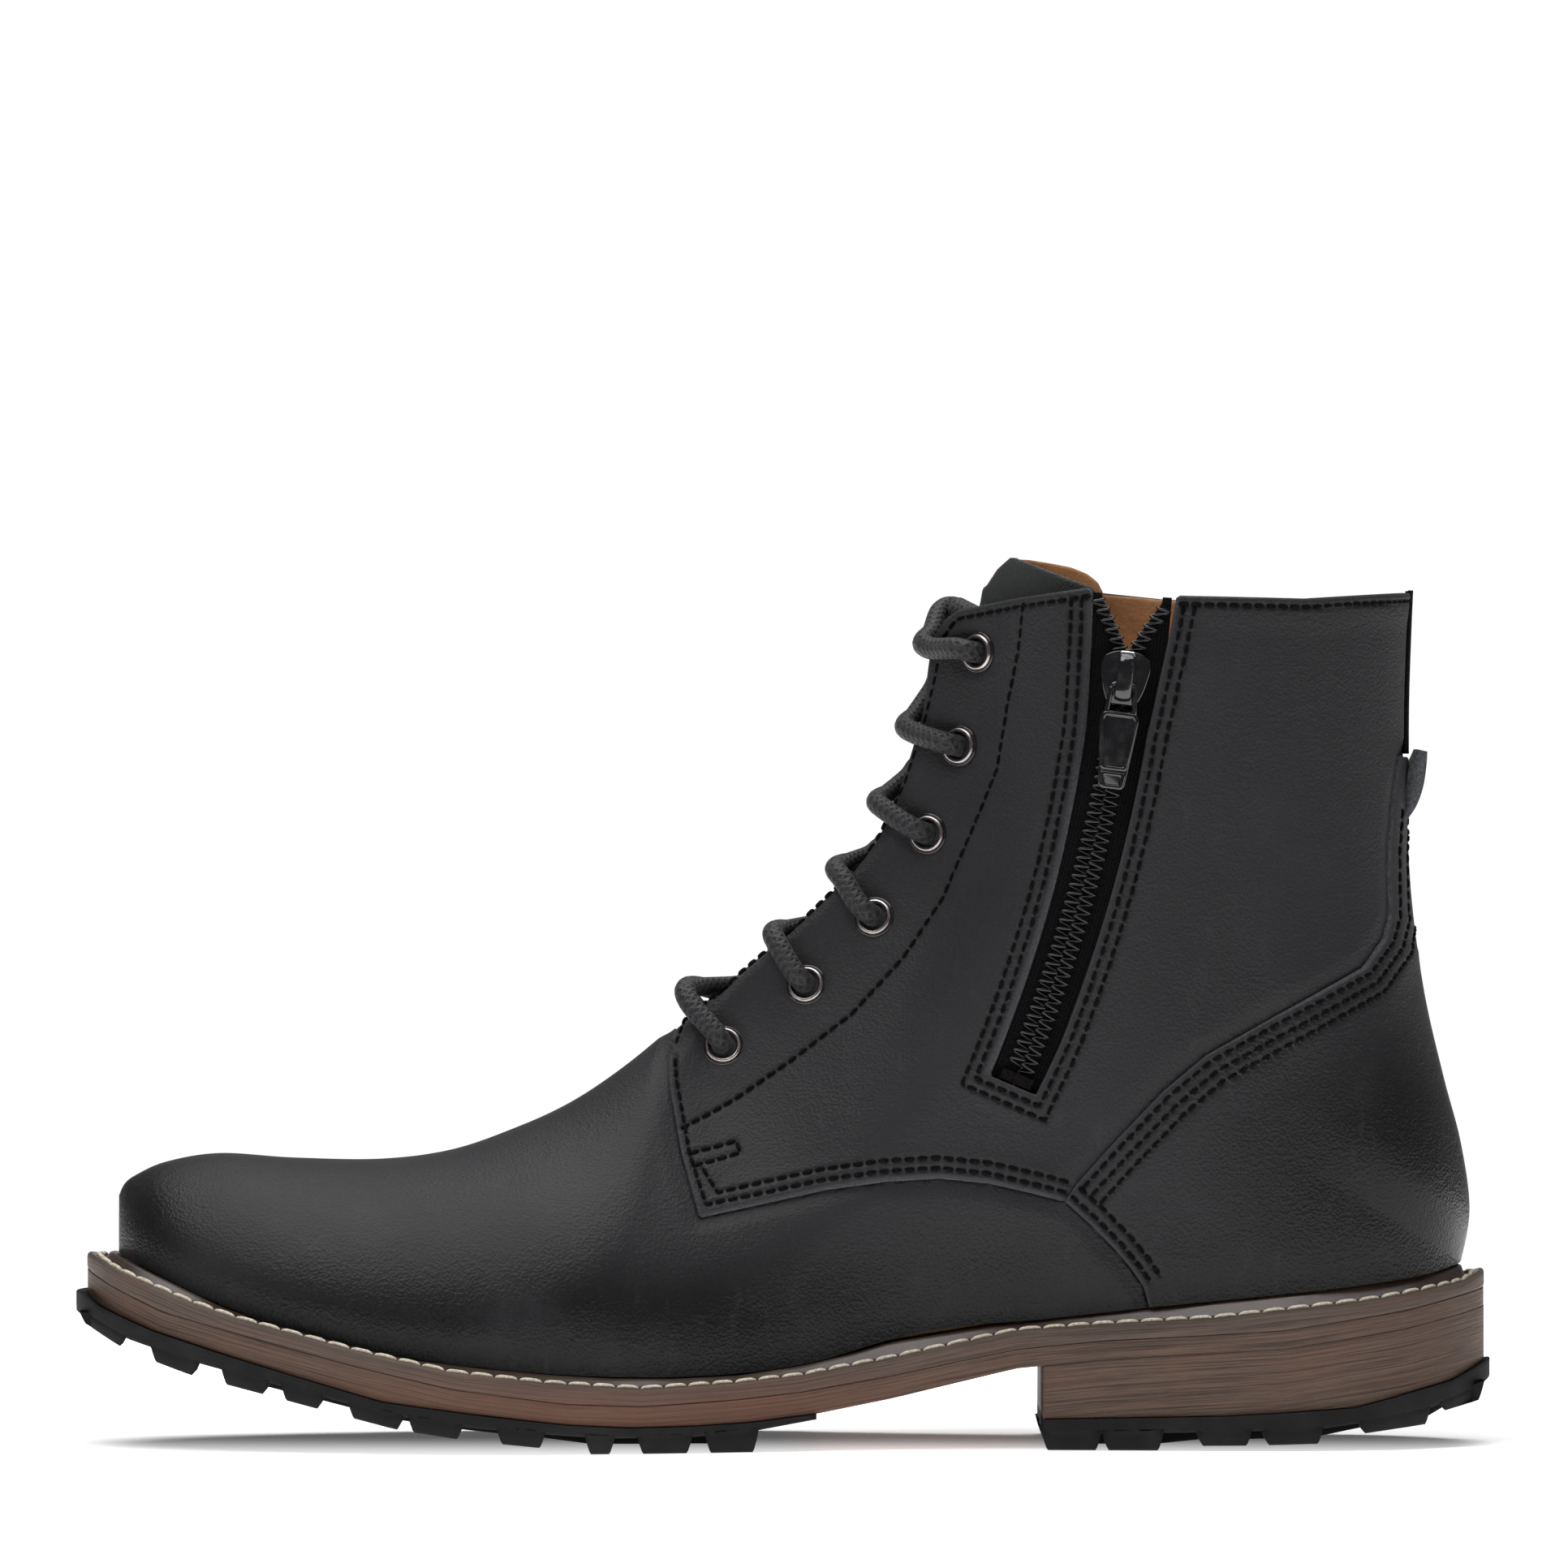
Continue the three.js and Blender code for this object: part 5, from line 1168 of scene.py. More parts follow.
VAMP_LINING_OUTLINE = [(-160, 0), (-160, 120), (-24, 120), (-20, 60), (-8, 15), (-8, 0)]
vamp_lining = Patch(0, 14, -1, 1, 3.5)
vamp_lining.trim(lambda p: over(VAMP_LINING_OUTLINE, p), rings=())
far_from_edge = np.full(len(vamp_lining.a), 30.0)
obj = thick_piece("vamp_lining_skin", vamp_lining, 2.95, 3.9, [TAN_EDGE, TAN, TAN_EDGE], far_from_edge)
finish_piece(obj, "boot", "lining_leather", "vamp_lining")

TONGUE_WRAP = 0.62
TONGUE_OUTLINE = [
    (-29, 60), (-29, 96), (20, 170), (44, 187), (46.3, 190.5), (49, 192.9), (53, 192.7), (58, 192),
    (62.4, 191.2), (66, 189.9), (68.6, 188), (70.2, 185), (70.4, 181), (66, 150), (50, 118), (25, 92),
    (0, 72)]
TONGUE_NEAR_CUT = [(49.2, 192.8), (57, 189.7), (66.2, 186.3), (72, 180), (80, 200), (48, 200)]


def tongue_surface(a, u, extra):
    side = lerp(5.1, 9.8, smooth(9.8, 11.4, a)) + 3 * smooth(20, 23, a) + extra
    front = lerp(5.1, 10.2, smooth(9.8, 11.4, a)) + extra
    ripple = 0.25 * np.sin(a * 7 + u * 3) * smooth(12, 16, a) * (1 - np.abs(u))
    return skin(a, u * TONGUE_WRAP, side + ripple, front + ripple)


def tongue_piece(name, extra_outer, extra_inner, materials, slot, node):
    patch = Patch(9.8, LAST, -1, 1, 1.8)

    def field(p):
        xyz = tongue_surface(p.a, p.u, extra_outer)
        low = signed(xyz[:, 0], xyz[:, 2], TONGUE_NEAR_CUT)
        near = smooth(10, -12, xyz[:, 1])
        return np.maximum(signed(xyz[:, 0], xyz[:, 2], TONGUE_OUTLINE), -low - 8 * (1 - near))
    patch.trim(field, rings=(0.25, 0.7))
    distance = field(patch)
    roll = edge_roll(distance, 0.7, 0.3)
    obj = thick_piece(name, patch, extra_outer + roll, extra_inner - roll, materials, -distance,
                      tongue_surface)
    return finish_piece(obj, "boot", slot, node)


tongue_piece("tongue_outer", 0.0, 1.45, [TONGUE_LEATHER, FLESH, CUT_EDGE], "upper_leather", "tongue")
tongue_piece("tongue_inner", 1.5, 2.5, [TAN_EDGE, TAN, TAN_EDGE], "lining_leather", "tongue_lining")

# ---------------------------------------------------------------- sole


def sole_outline(inset, count=110, toe_reach=0.0):
    middle, half = (SOLE_TOE_X + SOLE_HEEL_X) / 2, (SOLE_HEEL_X - SOLE_TOE_X) / 2

    def edge(turn):
        x = middle - half * np.cos(turn)
        return np.stack([x, rounded(SOLE_CENTRE, x) - rounded(SOLE_HALF_WIDTH, x) * np.sin(turn)], 1)
    turn = np.arange(2 * count) * math.pi / count
    p = edge(turn)
    run = unit(edge(turn + 0.01) - edge(turn - 0.01))
    reach = toe_reach * smooth(-110, -150, p[:, 0])
    return np.stack([p[:, 0] - inset * run[:, 1] - reach, p[:, 1] + inset * run[:, 0]], 1)


def clip_outline(points, x0, x1):
    """The outline kept between two x planes, each cut end straight."""
    out = []
    n = len(points)
    for plane, keep in ((x0, lambda x: x >= x0), (x1, lambda x: x <= x1)):
        out = []
        for i in range(n):
            p, q = points[i], points[(i + 1) % n]
            if keep(p[0]):
                out.append(p)
            if keep(p[0]) != keep(q[0]):
                t = (plane - p[0]) / (q[0] - p[0])
                out.append(p + (q - p) * t)
        points, n = np.array(out), len(out)
    return points


def edge_strip(rings):
    """Rows of rings joined into a strip, closed around: faces only."""
    count, n = len(rings), len(rings[0])
    index = np.arange(count * n).reshape(count, n)
    nxt = np.roll(index, -1, axis=1)
    return np.stack([index[:-1], nxt[:-1], nxt[1:], index[1:]], -1).reshape(-1, 4)


def sole_layer(x0, x1, low, high, profile, toe_reach=0.0, count=150):
    """A layer of the sole. profile lists (inset, share of the height, lift in mm) from the bottom up."""
    rings = []
    for inset, share, lift in profile:
        plan = sole_outline(inset, count, toe_reach)
        if x0 is not None:
            plan = clip_outline(plan, x0, x1)
        z = lerp(along(low, plan[:, 0]), along(high, plan[:, 0]), share) + lift
        rings.append(np.column_stack([plan, z]))
    faces = edge_strip(rings).tolist()
    length = np.concatenate([[0], np.cumsum(np.linalg.norm(np.diff(rings[0][:, :2], axis=0), axis=1))])
    wall = np.vstack(rings)
    uvs = np.column_stack([np.tile(length, len(rings)), wall[:, 2] - along(high, wall[:, 0])])
    return faces, uvs, rings


def cap_ladder(ring, flip):
    """Faces across an outline, joining its two sides from end to end."""
    toe = int(np.argmin(ring[:, 0]))
    n = len(ring)
    ids = [(toe + k) % n for k in range(n)]
    i, j = 1, n - 1
    faces = []
    prev = (ids[0], ids[0])
    while i < j:
        nxt = (ids[i], ids[j])
        face = [prev[0], nxt[0], nxt[1], prev[1]]
        face = [face[k] for k in range(4) if face[k] != face[k - 1]]
        faces.append(face[::-1] if flip else face)
        prev = nxt
        i, j = i + 1, j - 1
    if i == j:
        face = [prev[0], ids[i], prev[1]]
        faces.append(face[::-1] if flip else face)
    return faces


def capped(rings, faces):
    """The strip's faces with a bottom and a top, and which faces those are."""
    last = (len(rings) - 1) * len(rings[0])
    bottom = cap_ladder(rings[0], True)
    top = [[i + last for i in face] for face in cap_ladder(rings[-1], False)]
    kinds = [0] * len(faces) + [1] * len(bottom) + [2] * len(top)
    return faces + bottom + top, kinds


def layer_object(name, body, slot, nodes, x0, x1, low, high, profile, materials):
    faces, uvs, rings = sole_layer(x0, x1, low, high, profile)
    faces, kinds = capped(rings, faces)
    obj = mesh_object(name, np.vstack(rings), faces, materials, uvs=uvs, face_materials=kinds)
    return finish_piece(obj, body, slot, *nodes)


def round_profile(inset, soft=0.8, top_soft=0.8, middle=4):
    """A side wall with rounded bottom and top edges."""
    low = [(inset + soft * (1 - math.sin(t)), 0, soft * (1 - math.cos(t)))
           for t in np.radians([0, 30, 60, 90])]
    wall = [(inset, k / middle, 0) for k in range(1, middle)]
    high = [(inset + top_soft * (1 - math.sin(t)), 1, -top_soft * (1 - math.cos(t)))
            for t in np.radians([90, 60, 30, 0])]
    return low + wall + high


layer_object("midsole_edge", "boot", "sole_leather", ("midsole",), None, None, MIDSOLE_BOTTOM, MIDSOLE_TOP,
             round_profile(0.1, 0.3, 0.2), [STACK, ARCH, STACK])
layer_object("heel_stack_edge", "boot", "sole_leather", ("heel_stack",), HEEL_BREAST_X, 153.8, STACK_BOTTOM,
             MIDSOLE_BOTTOM, round_profile(0.0, 0.3, 0.12, 8), [STACK, STACK, STACK])


def welt_piece():
    """The welt: a flat rand with a stitch channel, then a glossy bead that meets the upper."""
    plan = [(0.35, "m", 0.05), (0.1, "m", 0.2), (0, "m", 0.8), (0, "w", -1.2), (0.15, "w", -0.5),
            (0.5, "w", -0.12), (1.1, "w", 0.0), (1.9, "w", -0.05), (2.3, "w", -0.28),
            (2.6, "w", -0.36), (2.9, "w", -0.28), (3.3, "w", 0.0),
            (3.8, "w", 0.12), (4.3, "w", 0.5), (4.9, "f", -0.9), (5.6, "f", -0.35),
            (6.4, "f", -0.2), (7.3, "f", -0.5), (8.2, "f", -1.2), (15, "f", -2.5), (15, "m", 0.2)]
    tables = {"m": MIDSOLE_TOP, "w": WELT_TOP, "f": FEATHER}
    rings = []
    for inset, key, lift in plan:
        p = sole_outline(inset, 170)
        rings.append(np.column_stack([p, along(tables[key], p[:, 0]) + lift]))
    index = edge_strip(rings + [rings[0]])
    total = len(rings) * len(rings[0])
    faces = (index % total).tolist()
    n = len(rings[0])
    kinds = []
    for i in range(len(rings)):
        kinds += [0 if i < 6 else 1] * n
    length = np.concatenate([[0], np.cumsum(np.linalg.norm(np.diff(rings[2][:, :2], axis=0), axis=1))])
    points = np.vstack(rings)
    uvs = np.column_stack([np.tile(length, len(rings)), points[:, 2] - along(WELT_TOP, points[:, 0])])
    obj = mesh_object("welt_rand", points, faces, [WELT_EDGE, WELT_WAX], uvs=uvs, face_materials=kinds)
    return finish_piece(obj, "boot", "welt_leather", "welt")


welt_piece()

stitch_plan = sole_outline(2.6, 400)
stitch_plan = np.vstack([stitch_plan, stitch_plan[:1]])
stitch_line = np.column_stack([stitch_plan, along(WELT_TOP, stitch_plan[:, 0]) + 0.28])
welt_up = np.tile([0.0, 0.0, 1.0], (len(stitch_line), 1))
points, faces = merge_parts(capsules(stitch_line, welt_up, 5.3, 4.9, 0.52, sink=0.05, sides=10, tilt=0.16))
obj = mesh_object("welt_stitches", points, faces, [IVORY_THREAD])
finish_piece(obj, "boot", "welt_thread", "welt_stitching")


def lug_block(x0, x1, low, top_table, outline, y_in, side, taper=1.1):
    """One tread lug that follows the sole's edge."""
    edge = outline[outline[:, 1] < 0] if side < 0 else outline[outline[:, 1] > 0]
    edge = edge[np.argsort(edge[:, 0])]
    rows = []
    for level, grow, pull in ((0, -0.35, 0.35), (0.12, 0, 0.06), (0.5, taper * 0.5, 0.0), (1.0, taper, 0.0)):
        at = lerp(x0 - grow, x1 + grow, np.linspace(0, 1, 6))
        ring_out = np.interp(at, edge[:, 0], edge[:, 1]) - side * pull
        ring_in = np.full(len(at), y_in + side * (pull + 0.2 * (1 - level)))
        z_low = np.interp(at, low[:, 0], low[:, 1])
        z_top = np.interp(at, top_table[:, 0], top_table[:, 1]) + 0.8
        z = lerp(z_low, z_top, level)
        loop = np.concatenate([np.column_stack([at, ring_out, z]), np.column_stack([at, ring_in, z])[::-1]])
        rows.append(loop)
    n = len(rows[0])
    faces = edge_strip(rows).tolist() + [list(range(n))[::-1], [3 * n + k for k in range(n)]]
    if side > 0:
        faces = [f[::-1] for f in faces]
    return np.vstack(rows), faces


def rubber_piece(name, node, x0, x1, top_table, plate, lug_bottom, lugs, centre_from):
    outline = sole_outline(-RUBBER_PROUD, 150, 1.1)
    profile = round_profile(-RUBBER_PROUD, 0.5, 0.4, 3)
    faces, _, rings = sole_layer(x0, x1, plate, top_table, profile, toe_reach=1.1)
    parts = [(np.vstack(rings), capped(rings, faces)[0])]
    for i, (lo, hi) in enumerate(lugs):
        centre = float(along(SOLE_CENTRE, (lo + hi) / 2))
        band = min(24, float(rounded(SOLE_HALF_WIDTH, lo)) * 0.45) / 3 + 9
        for side in (-1, 1):
            parts.append(lug_block(lo, hi, lug_bottom, plate, outline, centre + side * band, side))
        if centre_from <= i < len(lugs) - 1:
            nxt = lugs[i + 1][0]
            box = slab(rounded_loop([(hi - 1, centre - 11), (nxt + 1, centre - 11), (nxt + 1, centre + 11),
                                     (hi - 1, centre + 11)], 0.8), 0, 1, 0.3)
            p = box[0]
            low = np.interp(p[:, 0], lug_bottom[:, 0], lug_bottom[:, 1])
            high = np.interp(p[:, 0], plate[:, 0], plate[:, 1]) + 0.8
            p = np.column_stack([p[:, 0], p[:, 1], lerp(low, high, p[:, 2])])
            parts.append((p, box[1]))
    points, faces = merge_parts(parts)
    obj = mesh_object(name, points, faces, [RUBBER])
    return finish_piece(obj, "boot", "sole_rubber", node)


rubber_piece("forefoot_rubber", "outsole_forefoot", -160, PLATE_END_X, MIDSOLE_BOTTOM - [0, 0.1],
             PLATE_BOTTOM, LUG_BOTTOM, FOREFOOT_LUGS, 2)
rubber_piece("heel_rubber", "heel_lift", HEEL_BREAST_X, 154, STACK_BOTTOM - [0, 0.1], HEEL_PLATE_BOTTOM,
             HEEL_LUG_BOTTOM, HEEL_LUGS, 0)

layer_object("footbed_pad", "boot", "lining_leather", ("footbed",), None, None, FEATHER + [0, 2.8],
             FEATHER + [0, 5.4], round_profile(13.2, 0.4, 1.0, 2), [TAN, TAN, TAN])

# ---------------------------------------------------------------- zip


def zip_axes(degrees):
    """The zip's frame: origin on the tape, outwards radial, up the zip, out of the boot."""
    turn = math.radians(degrees)
    normal = unit(np.array([0.0, -1.0, -ZIP_LEAN]))
    x = ZIP_CENTRE[0] + ZIP_RADIUS * math.cos(turn)
    z = ZIP_CENTRE[1] - ZIP_RADIUS * math.sin(turn)
    radial = np.array([math.cos(turn), 0, -math.sin(turn)])
    radial = unit(radial - radial.dot(normal) * normal)
    up = np.cross(normal, radial)
    return np.array([x, zip_plane(z) + TAPE_DEPTH, z]), radial, up, normal


def zip_point(degrees, r, n):
    origin, radial, _, normal = zip_axes(degrees)
    return origin + radial * r + normal * n


def spread_above(d):
    """How far each half of the zip stands off the middle line above the slider."""
    return 6.4 * float(clamp((ZIP_REST - 0.9 - d) / 2)) ** 1.15


COIL_PITCH = 2.0
COIL_WIRE = 0.3


def coil_piece(name, side, node):
    step = math.degrees(COIL_PITCH / ZIP_RADIUS)
    turns = int((ZIP_BOTTOM - 0.6 - ZIP_TOP - 0.2) / step)
    per = 16
    samples = turns * per
    path = []
    for k in range(samples + 1):
        theta = 2 * math.pi * k / per
        d = ZIP_TOP + 0.2 + step * (k / per + (0.5 if side > 0 else 0))
        r = 1.45 - 1.75 * math.cos(theta)
        n = 1.05 + 0.72 * math.sin(theta)
        path.append(zip_point(d, side * (r + spread_above(d)), n))
    across = np.tile(zip_axes(14)[2], (len(path), 1))
    points, faces, _ = tube(np.array(path), across, 6, COIL_WIRE, COIL_WIRE)
    obj = mesh_object(name, points, faces, [NYLON])
    return finish_piece(obj, "boot", "zip_coil", node)


def tape_piece(name, side, node):
    rows, uvs = [], []
    degrees = np.linspace(ZIP_TOP, ZIP_BOTTOM + 1.4, 90)
    for d in degrees:
        near = 0.15 + spread_above(d)
        far = 8.5
        for r, n in ((near, 0.0), (lerp(near, far, 0.5), 0.03), (far, 0), (far, -0.5), (near, -0.5)):
            rows.append(zip_point(d, side * r, n))
            uvs.append((side * r, d * math.radians(ZIP_RADIUS)))
    index = np.arange(len(rows)).reshape(len(degrees), 5)
    nxt = np.roll(index, -1, axis=1)
    faces = np.stack([index[:-1], nxt[:-1], nxt[1:], index[1:]], -1).reshape(-1, 4).tolist()
    faces += [index[0][::-1].tolist(), index[-1].tolist()]
    if side < 0:
        faces = [f[::-1] for f in faces]
    obj = mesh_object(name, rows, faces, [TAPE], smooth_shading=False, uvs=uvs)
    return finish_piece(obj, "boot", "tape", node)


for side, label in ((-1, "front"), (1, "rear")):
    coil_piece(f"coil_{label}", side, f"zip_coil_{label}")
    tape_piece(f"tape_{label}", side, f"zip_tape_{label}")

origin, radial, up, normal = zip_axes(ZIP_REST)


def zip_part(name, parts, body, material, slot, nodes):
    points, faces = merge_parts(parts)
    points = placed(points, origin, radial, up, normal)
    obj = mesh_object(name, points, faces, [material])
    return finish_piece(obj, body, slot, *nodes)


def bent_slab(outline, z0, z1, bevel, crown):
    points, faces = slab(outline, z0, z1, bevel)
    points[:, 2] -= crown * (points[:, 0] / 5) ** 2
    return points, faces


SLIDER_PLAN = [(-3.2, -5.8), (3.2, -5.8), (4.5, -2.6), (5.45, 2.0), (5.1, 4.4), (2.6, 5.8), (-2.6, 5.8),
               (-5.1, 4.4), (-5.45, 2.0), (-4.5, -2.6)]
slider_plan = rounded_loop(SLIDER_PLAN, 1.3)


def frustum_box(x0, x1, y0, y1, z0, z1, bevel=0.25, radius=0.4):
    return slab(rounded_loop([(x0, y0), (x1, y0), (x1, y1), (x0, y1)], radius), z0, z1, bevel)


slider_parts = [bent_slab(slider_plan, 2.05, 3.0, 0.3, 0.1)]
for side in (-1, 1):
    slider_parts.append(slab(rounded_loop([(side * 4.62, -2.8), (side * 5.4, 1.8), (side * 5.2, 3.9),
                                           (side * 4.62, 3.9)], 0.3), 0.5, 2.3, 0.2))
slider_parts.append(slab(slider_plan * [0.8, 1.0], -2.1, -1.15, 0.25))
bridge_path = np.array([(0, -4.7, 2.7), (0, -4.5, 3.9), (0, -3.9, 4.9), (0, -2.6, 5.35), (0, 0.5, 5.4),
                        (0, 3.0, 5.3), (0, 4.3, 4.7), (0, 4.9, 3.8), (0, 5.1, 2.7)])
bridge_path = curve_through(bridge_path, 4)
bp, bf, _ = tube(bridge_path, np.tile([1.0, 0, 0], (len(bridge_path), 1)), 14, 1.75, 0.5)
slider_parts.append((bp, bf))
zip_part("slider_body", slider_parts, "slider", LACQUER, "zip_metal", ("zip_slider",))
slider_nose = frustum_box(-1.7, 1.7, 3.9, 5.9, 3.0, 4.3, 0.4, 0.6)
zip_part("slider_nose", [slider_nose], "slider", BRIGHT, "zip_metal", ())

pull_parts = []
loop = rounded_loop([(-2.5, -1.4), (2.5, -1.4), (3.1, -8.0), (-3.1, -8.0)], 1.0, 6)
loop = np.vstack([loop, loop[:2]])
loop_path = np.column_stack([loop, np.full(len(loop), 3.95)])
lp, lf, _ = tube(loop_path, np.tile([0, 0, 1.0], (len(loop_path), 1)), 10, 0.55, 0.6)
pull_parts.append((lp, lf))
plate_outline = rounded_loop([(-4.3, -8.6), (-3.5, -7.2), (3.5, -7.2), (4.3, -8.6), (2.9, -23.2),
                              (2.3, -24.1), (-2.3, -24.1), (-2.9, -23.2)], 0.8)
base = slab(plate_outline, 3.35, 4.1, 0.25)
pull_parts.append(base)


def frame_ring(outer, inner, z0, z1):
    """A raised flat rim between two matched loops."""
    outer, inner = np.asarray(outer), np.asarray(inner)
    n = len(outer)
    mid_out, mid_in = lerp(outer, inner, 0.2), lerp(inner, outer, 0.2)
    rings = [np.column_stack([p, np.full(n, z)]) for p, z in
             ((outer, z0), (outer, z1 - 0.15), (mid_out, z1), (mid_in, z1), (inner, z1 - 0.15), (inner, z0))]
    return np.vstack(rings), edge_strip(rings + [rings[0]]).tolist(), len(rings) * n


rim_outer = rounded_loop([(-4.2, -8.7), (-3.4, -7.4), (3.4, -7.4), (4.2, -8.7), (2.9, -20.0),
                          (-2.9, -20.0)], 0.7)
rim_inner = rounded_loop([(-3.3, -9.0), (-2.8, -8.3), (2.8, -8.3), (3.3, -9.0), (2.2, -19.1),
                          (-2.2, -19.1)], 0.6)
tip_outer = rounded_loop([(-2.9, -20.3), (2.9, -20.3), (2.5, -24.0), (-2.5, -24.0)], 0.6)
tip_inner = rounded_loop([(-1.7, -21.2), (1.7, -21.2), (1.5, -23.1), (-1.5, -23.1)], 0.5)
for outer, inner, top in ((rim_outer, rim_inner, 4.55), (tip_outer, tip_inner, 4.6)):
    rp, rf, total = frame_ring(outer, inner, 4.0, top)
    pull_parts.append((rp, [[i % total for i in f] for f in rf]))
zip_part("pull_tab", pull_parts, "pull", LACQUER, "zip_metal", ("zip_pull",))

# ---------------------------------------------------------------- eyelets


def surface_frame(x, z, side, inset=0.0):
    a, u = chart([(x, z)], side)
    at = skin(a, u, inset)[0]
    normal = skin_normal(a, u)[0]
    x_axis = unit(np.cross([0, 0, 1.0], normal))
    return at, x_axis, np.cross(normal, x_axis), normal


RIM = [(2.9, -1.2), (2.75, -0.2), (2.85, 0.35), (3.05, 0.72), (3.35, 0.9), (3.65, 0.86), (3.9, 0.66),
       (4.02, 0.35), (4.05, 0.05), (3.7, -0.25), (3.3, -0.4), (3.25, -1.2)]
FLANGE = [(4.0, -0.15), (4.0, 0.22), (4.2, 0.3), (4.42, 0.22), (4.5, 0.0), (4.4, -0.2)]
BARREL = [(2.75, -4.6), (2.75, -1.0), (3.25, -1.0), (3.25, -4.6)]
BACK_RING = [(2.75, -4.7), (2.85, -4.95), (3.5, -4.95), (3.75, -4.7), (3.55, -4.45), (3.1, -4.4)]
eyelet_places = {}
for i, (x, z) in enumerate(EYELETS):
    for side, label in ((-1, "medial"), (1, "lateral")):
        at, xa, ya, na = surface_frame(x, z, side)
        eyelet_places[(side, i)] = (at, na)
        parts = [lathe(profile) for profile in (RIM, BARREL, BACK_RING)]
        points, faces = merge_parts(parts)
        obj = mesh_object(f"eyelet_ring_{label}_{i + 1}", placed(points, at, xa, ya, na), faces, [GUNMETAL])
        finish_piece(obj, "boot", "eyelet_metal", f"eyelet_{label}_{i + 1}")
        points, faces = lathe(FLANGE)
        obj = mesh_object(f"eyelet_flange_{label}_{i + 1}", placed(points, at, xa, ya, na), faces, [LACQUER])
        finish_piece(obj, "boot", "eyelet_metal")

# ---------------------------------------------------------------- lace


def lacing_place(level, forward, y):
    """A place in front of the row of eyelets; level counts the eyelets from the lowest, from 0."""
    i = int(clamp(math.floor(level), 0, len(EYELETS) - 2))
    e = [np.array(p, float) for p in EYELETS]
    at = lerp(e[i], e[i + 1], level - i)
    before, after = e[max(i - 1, 0)], e[min(i + 2, len(e) - 1)]
    tangent = lerp(e[i + 1] - before, after - e[i], float(clamp(level - i)))
    tangent = unit(tangent)
    return np.array([at[0] - forward * tangent[1], y, at[1] + forward * tangent[0]])


def beside_eyelet(side, i, height, forward=0.0):
    at, normal = eyelet_places[(side, i)]
    front = lacing_place(i, 1, 0) - lacing_place(i, 0, 0)
    front = unit(front - front.dot(normal) * normal)
    return at + normal * height + front * forward


def under_facing(side, i):
    """Where the lace comes up behind the facing, just below eyelet i."""
    return beside_eyelet(side, i, -7.1, 3.4) + lacing_place(i - 0.14, 0, 0) - lacing_place(i, 0, 0)


# How far each loop over the facing sits up the lacing and forwards of the common loop.
LOOP_SHIFT = [(-0.1, 2.4), (-0.03, 0.8), (0.03, 0.5), (-0.05, 0.5), (-0.07, 0), (-0.13, -0.3)]


def over_facing(side, i):
    """Out of eyelet i and round the front edge of its own facing."""
    rise, reach = LOOP_SHIFT[i]
    return [beside_eyelet(side, i, -6.9), beside_eyelet(side, i, -4.8), beside_eyelet(side, i, 1.6, 0.5),
            beside_eyelet(side, i, 3, 3.6), lacing_place(i + 0.08 + rise, 9.8 + 0.7 * reach, side * 13),
            lacing_place(i + 0.13 + rise, 12.5 + reach, side * 9.7),
            lacing_place(i + 0.25 + rise, 11 + reach, side * 6.2)]


def crossing(side, i):
    """From eyelet i across the tongue to below eyelet i + 1 of the other side."""
    under = side > 0
    return over_facing(side, i) + [
        lacing_place(i + 0.5, 4.6 if under else 8.2, 0),
        lacing_place(i + 0.72, 5 if under else 6.4, -side * 4.8),
        under_facing(-side, i + 1)]


def tail(side):
    """From the last eyelet across, then down inside along the lining."""
    last = len(EYELETS) - 1
    inside_run = [surface_frame(x, z, -side, inset)[0] for x, z, inset in
                  ((43, 174.5, 9.2), (49, 162, 8.4), (50, 151, 8))]
    return over_facing(side, last) + [
        lacing_place(last + 0.38, 6 if side > 0 else 9.6, 0),
        lacing_place(last + 0.42, 5.2, -side * 4.2)] + inside_run


def half_lace(first):
    points, side = [], first
    for i in range(len(EYELETS) - 1):
        points += crossing(side, i)
        side = -side
    return points + tail(side)


bottom_bar = [lacing_place(-0.12, 3.4, -5.6), lacing_place(-0.2, 6.4, 0), lacing_place(-0.12, 3.4, 5.6)]
lace_route = np.array(half_lace(-1)[::-1] + bottom_bar + half_lace(1))
lace_line = curve_through(lace_route, 8)
lace_line = resample(lace_line, 0.45)
for _ in range(6):
    lace_line[1:-1] = (lace_line[:-2] + 2 * lace_line[1:-1] + lace_line[2:]) / 4

# Half width and half height of the lace in the open, and inside the boot.
OPEN_LACE, HIDDEN_LACE = (2.35, 1.95), (2.3, 1.35)
width, height = np.zeros(len(lace_line)), np.zeros(len(lace_line))
for k, p in enumerate(lace_line):
    best = min(eyelet_places.items(), key=lambda item: np.linalg.norm(item[1][0] - p))
    at, normal = best[1]
    h = float((p - at).dot(normal))
    near = np.linalg.norm(p - at)
    inside_amount = float(smooth(-1.5, -5.0, h)) * float(smooth(16, 10, near))
    width[k] = lerp(OPEN_LACE[0], HIDDEN_LACE[0], inside_amount)
    height[k] = lerp(OPEN_LACE[1], HIDDEN_LACE[1], inside_amount)


def smooth_rows(values, rounds):
    values = values.copy()
    for _ in range(rounds):
        values[1:-1] = (values[:-2] + 2 * values[1:-1] + values[2:]) / 4
    return values


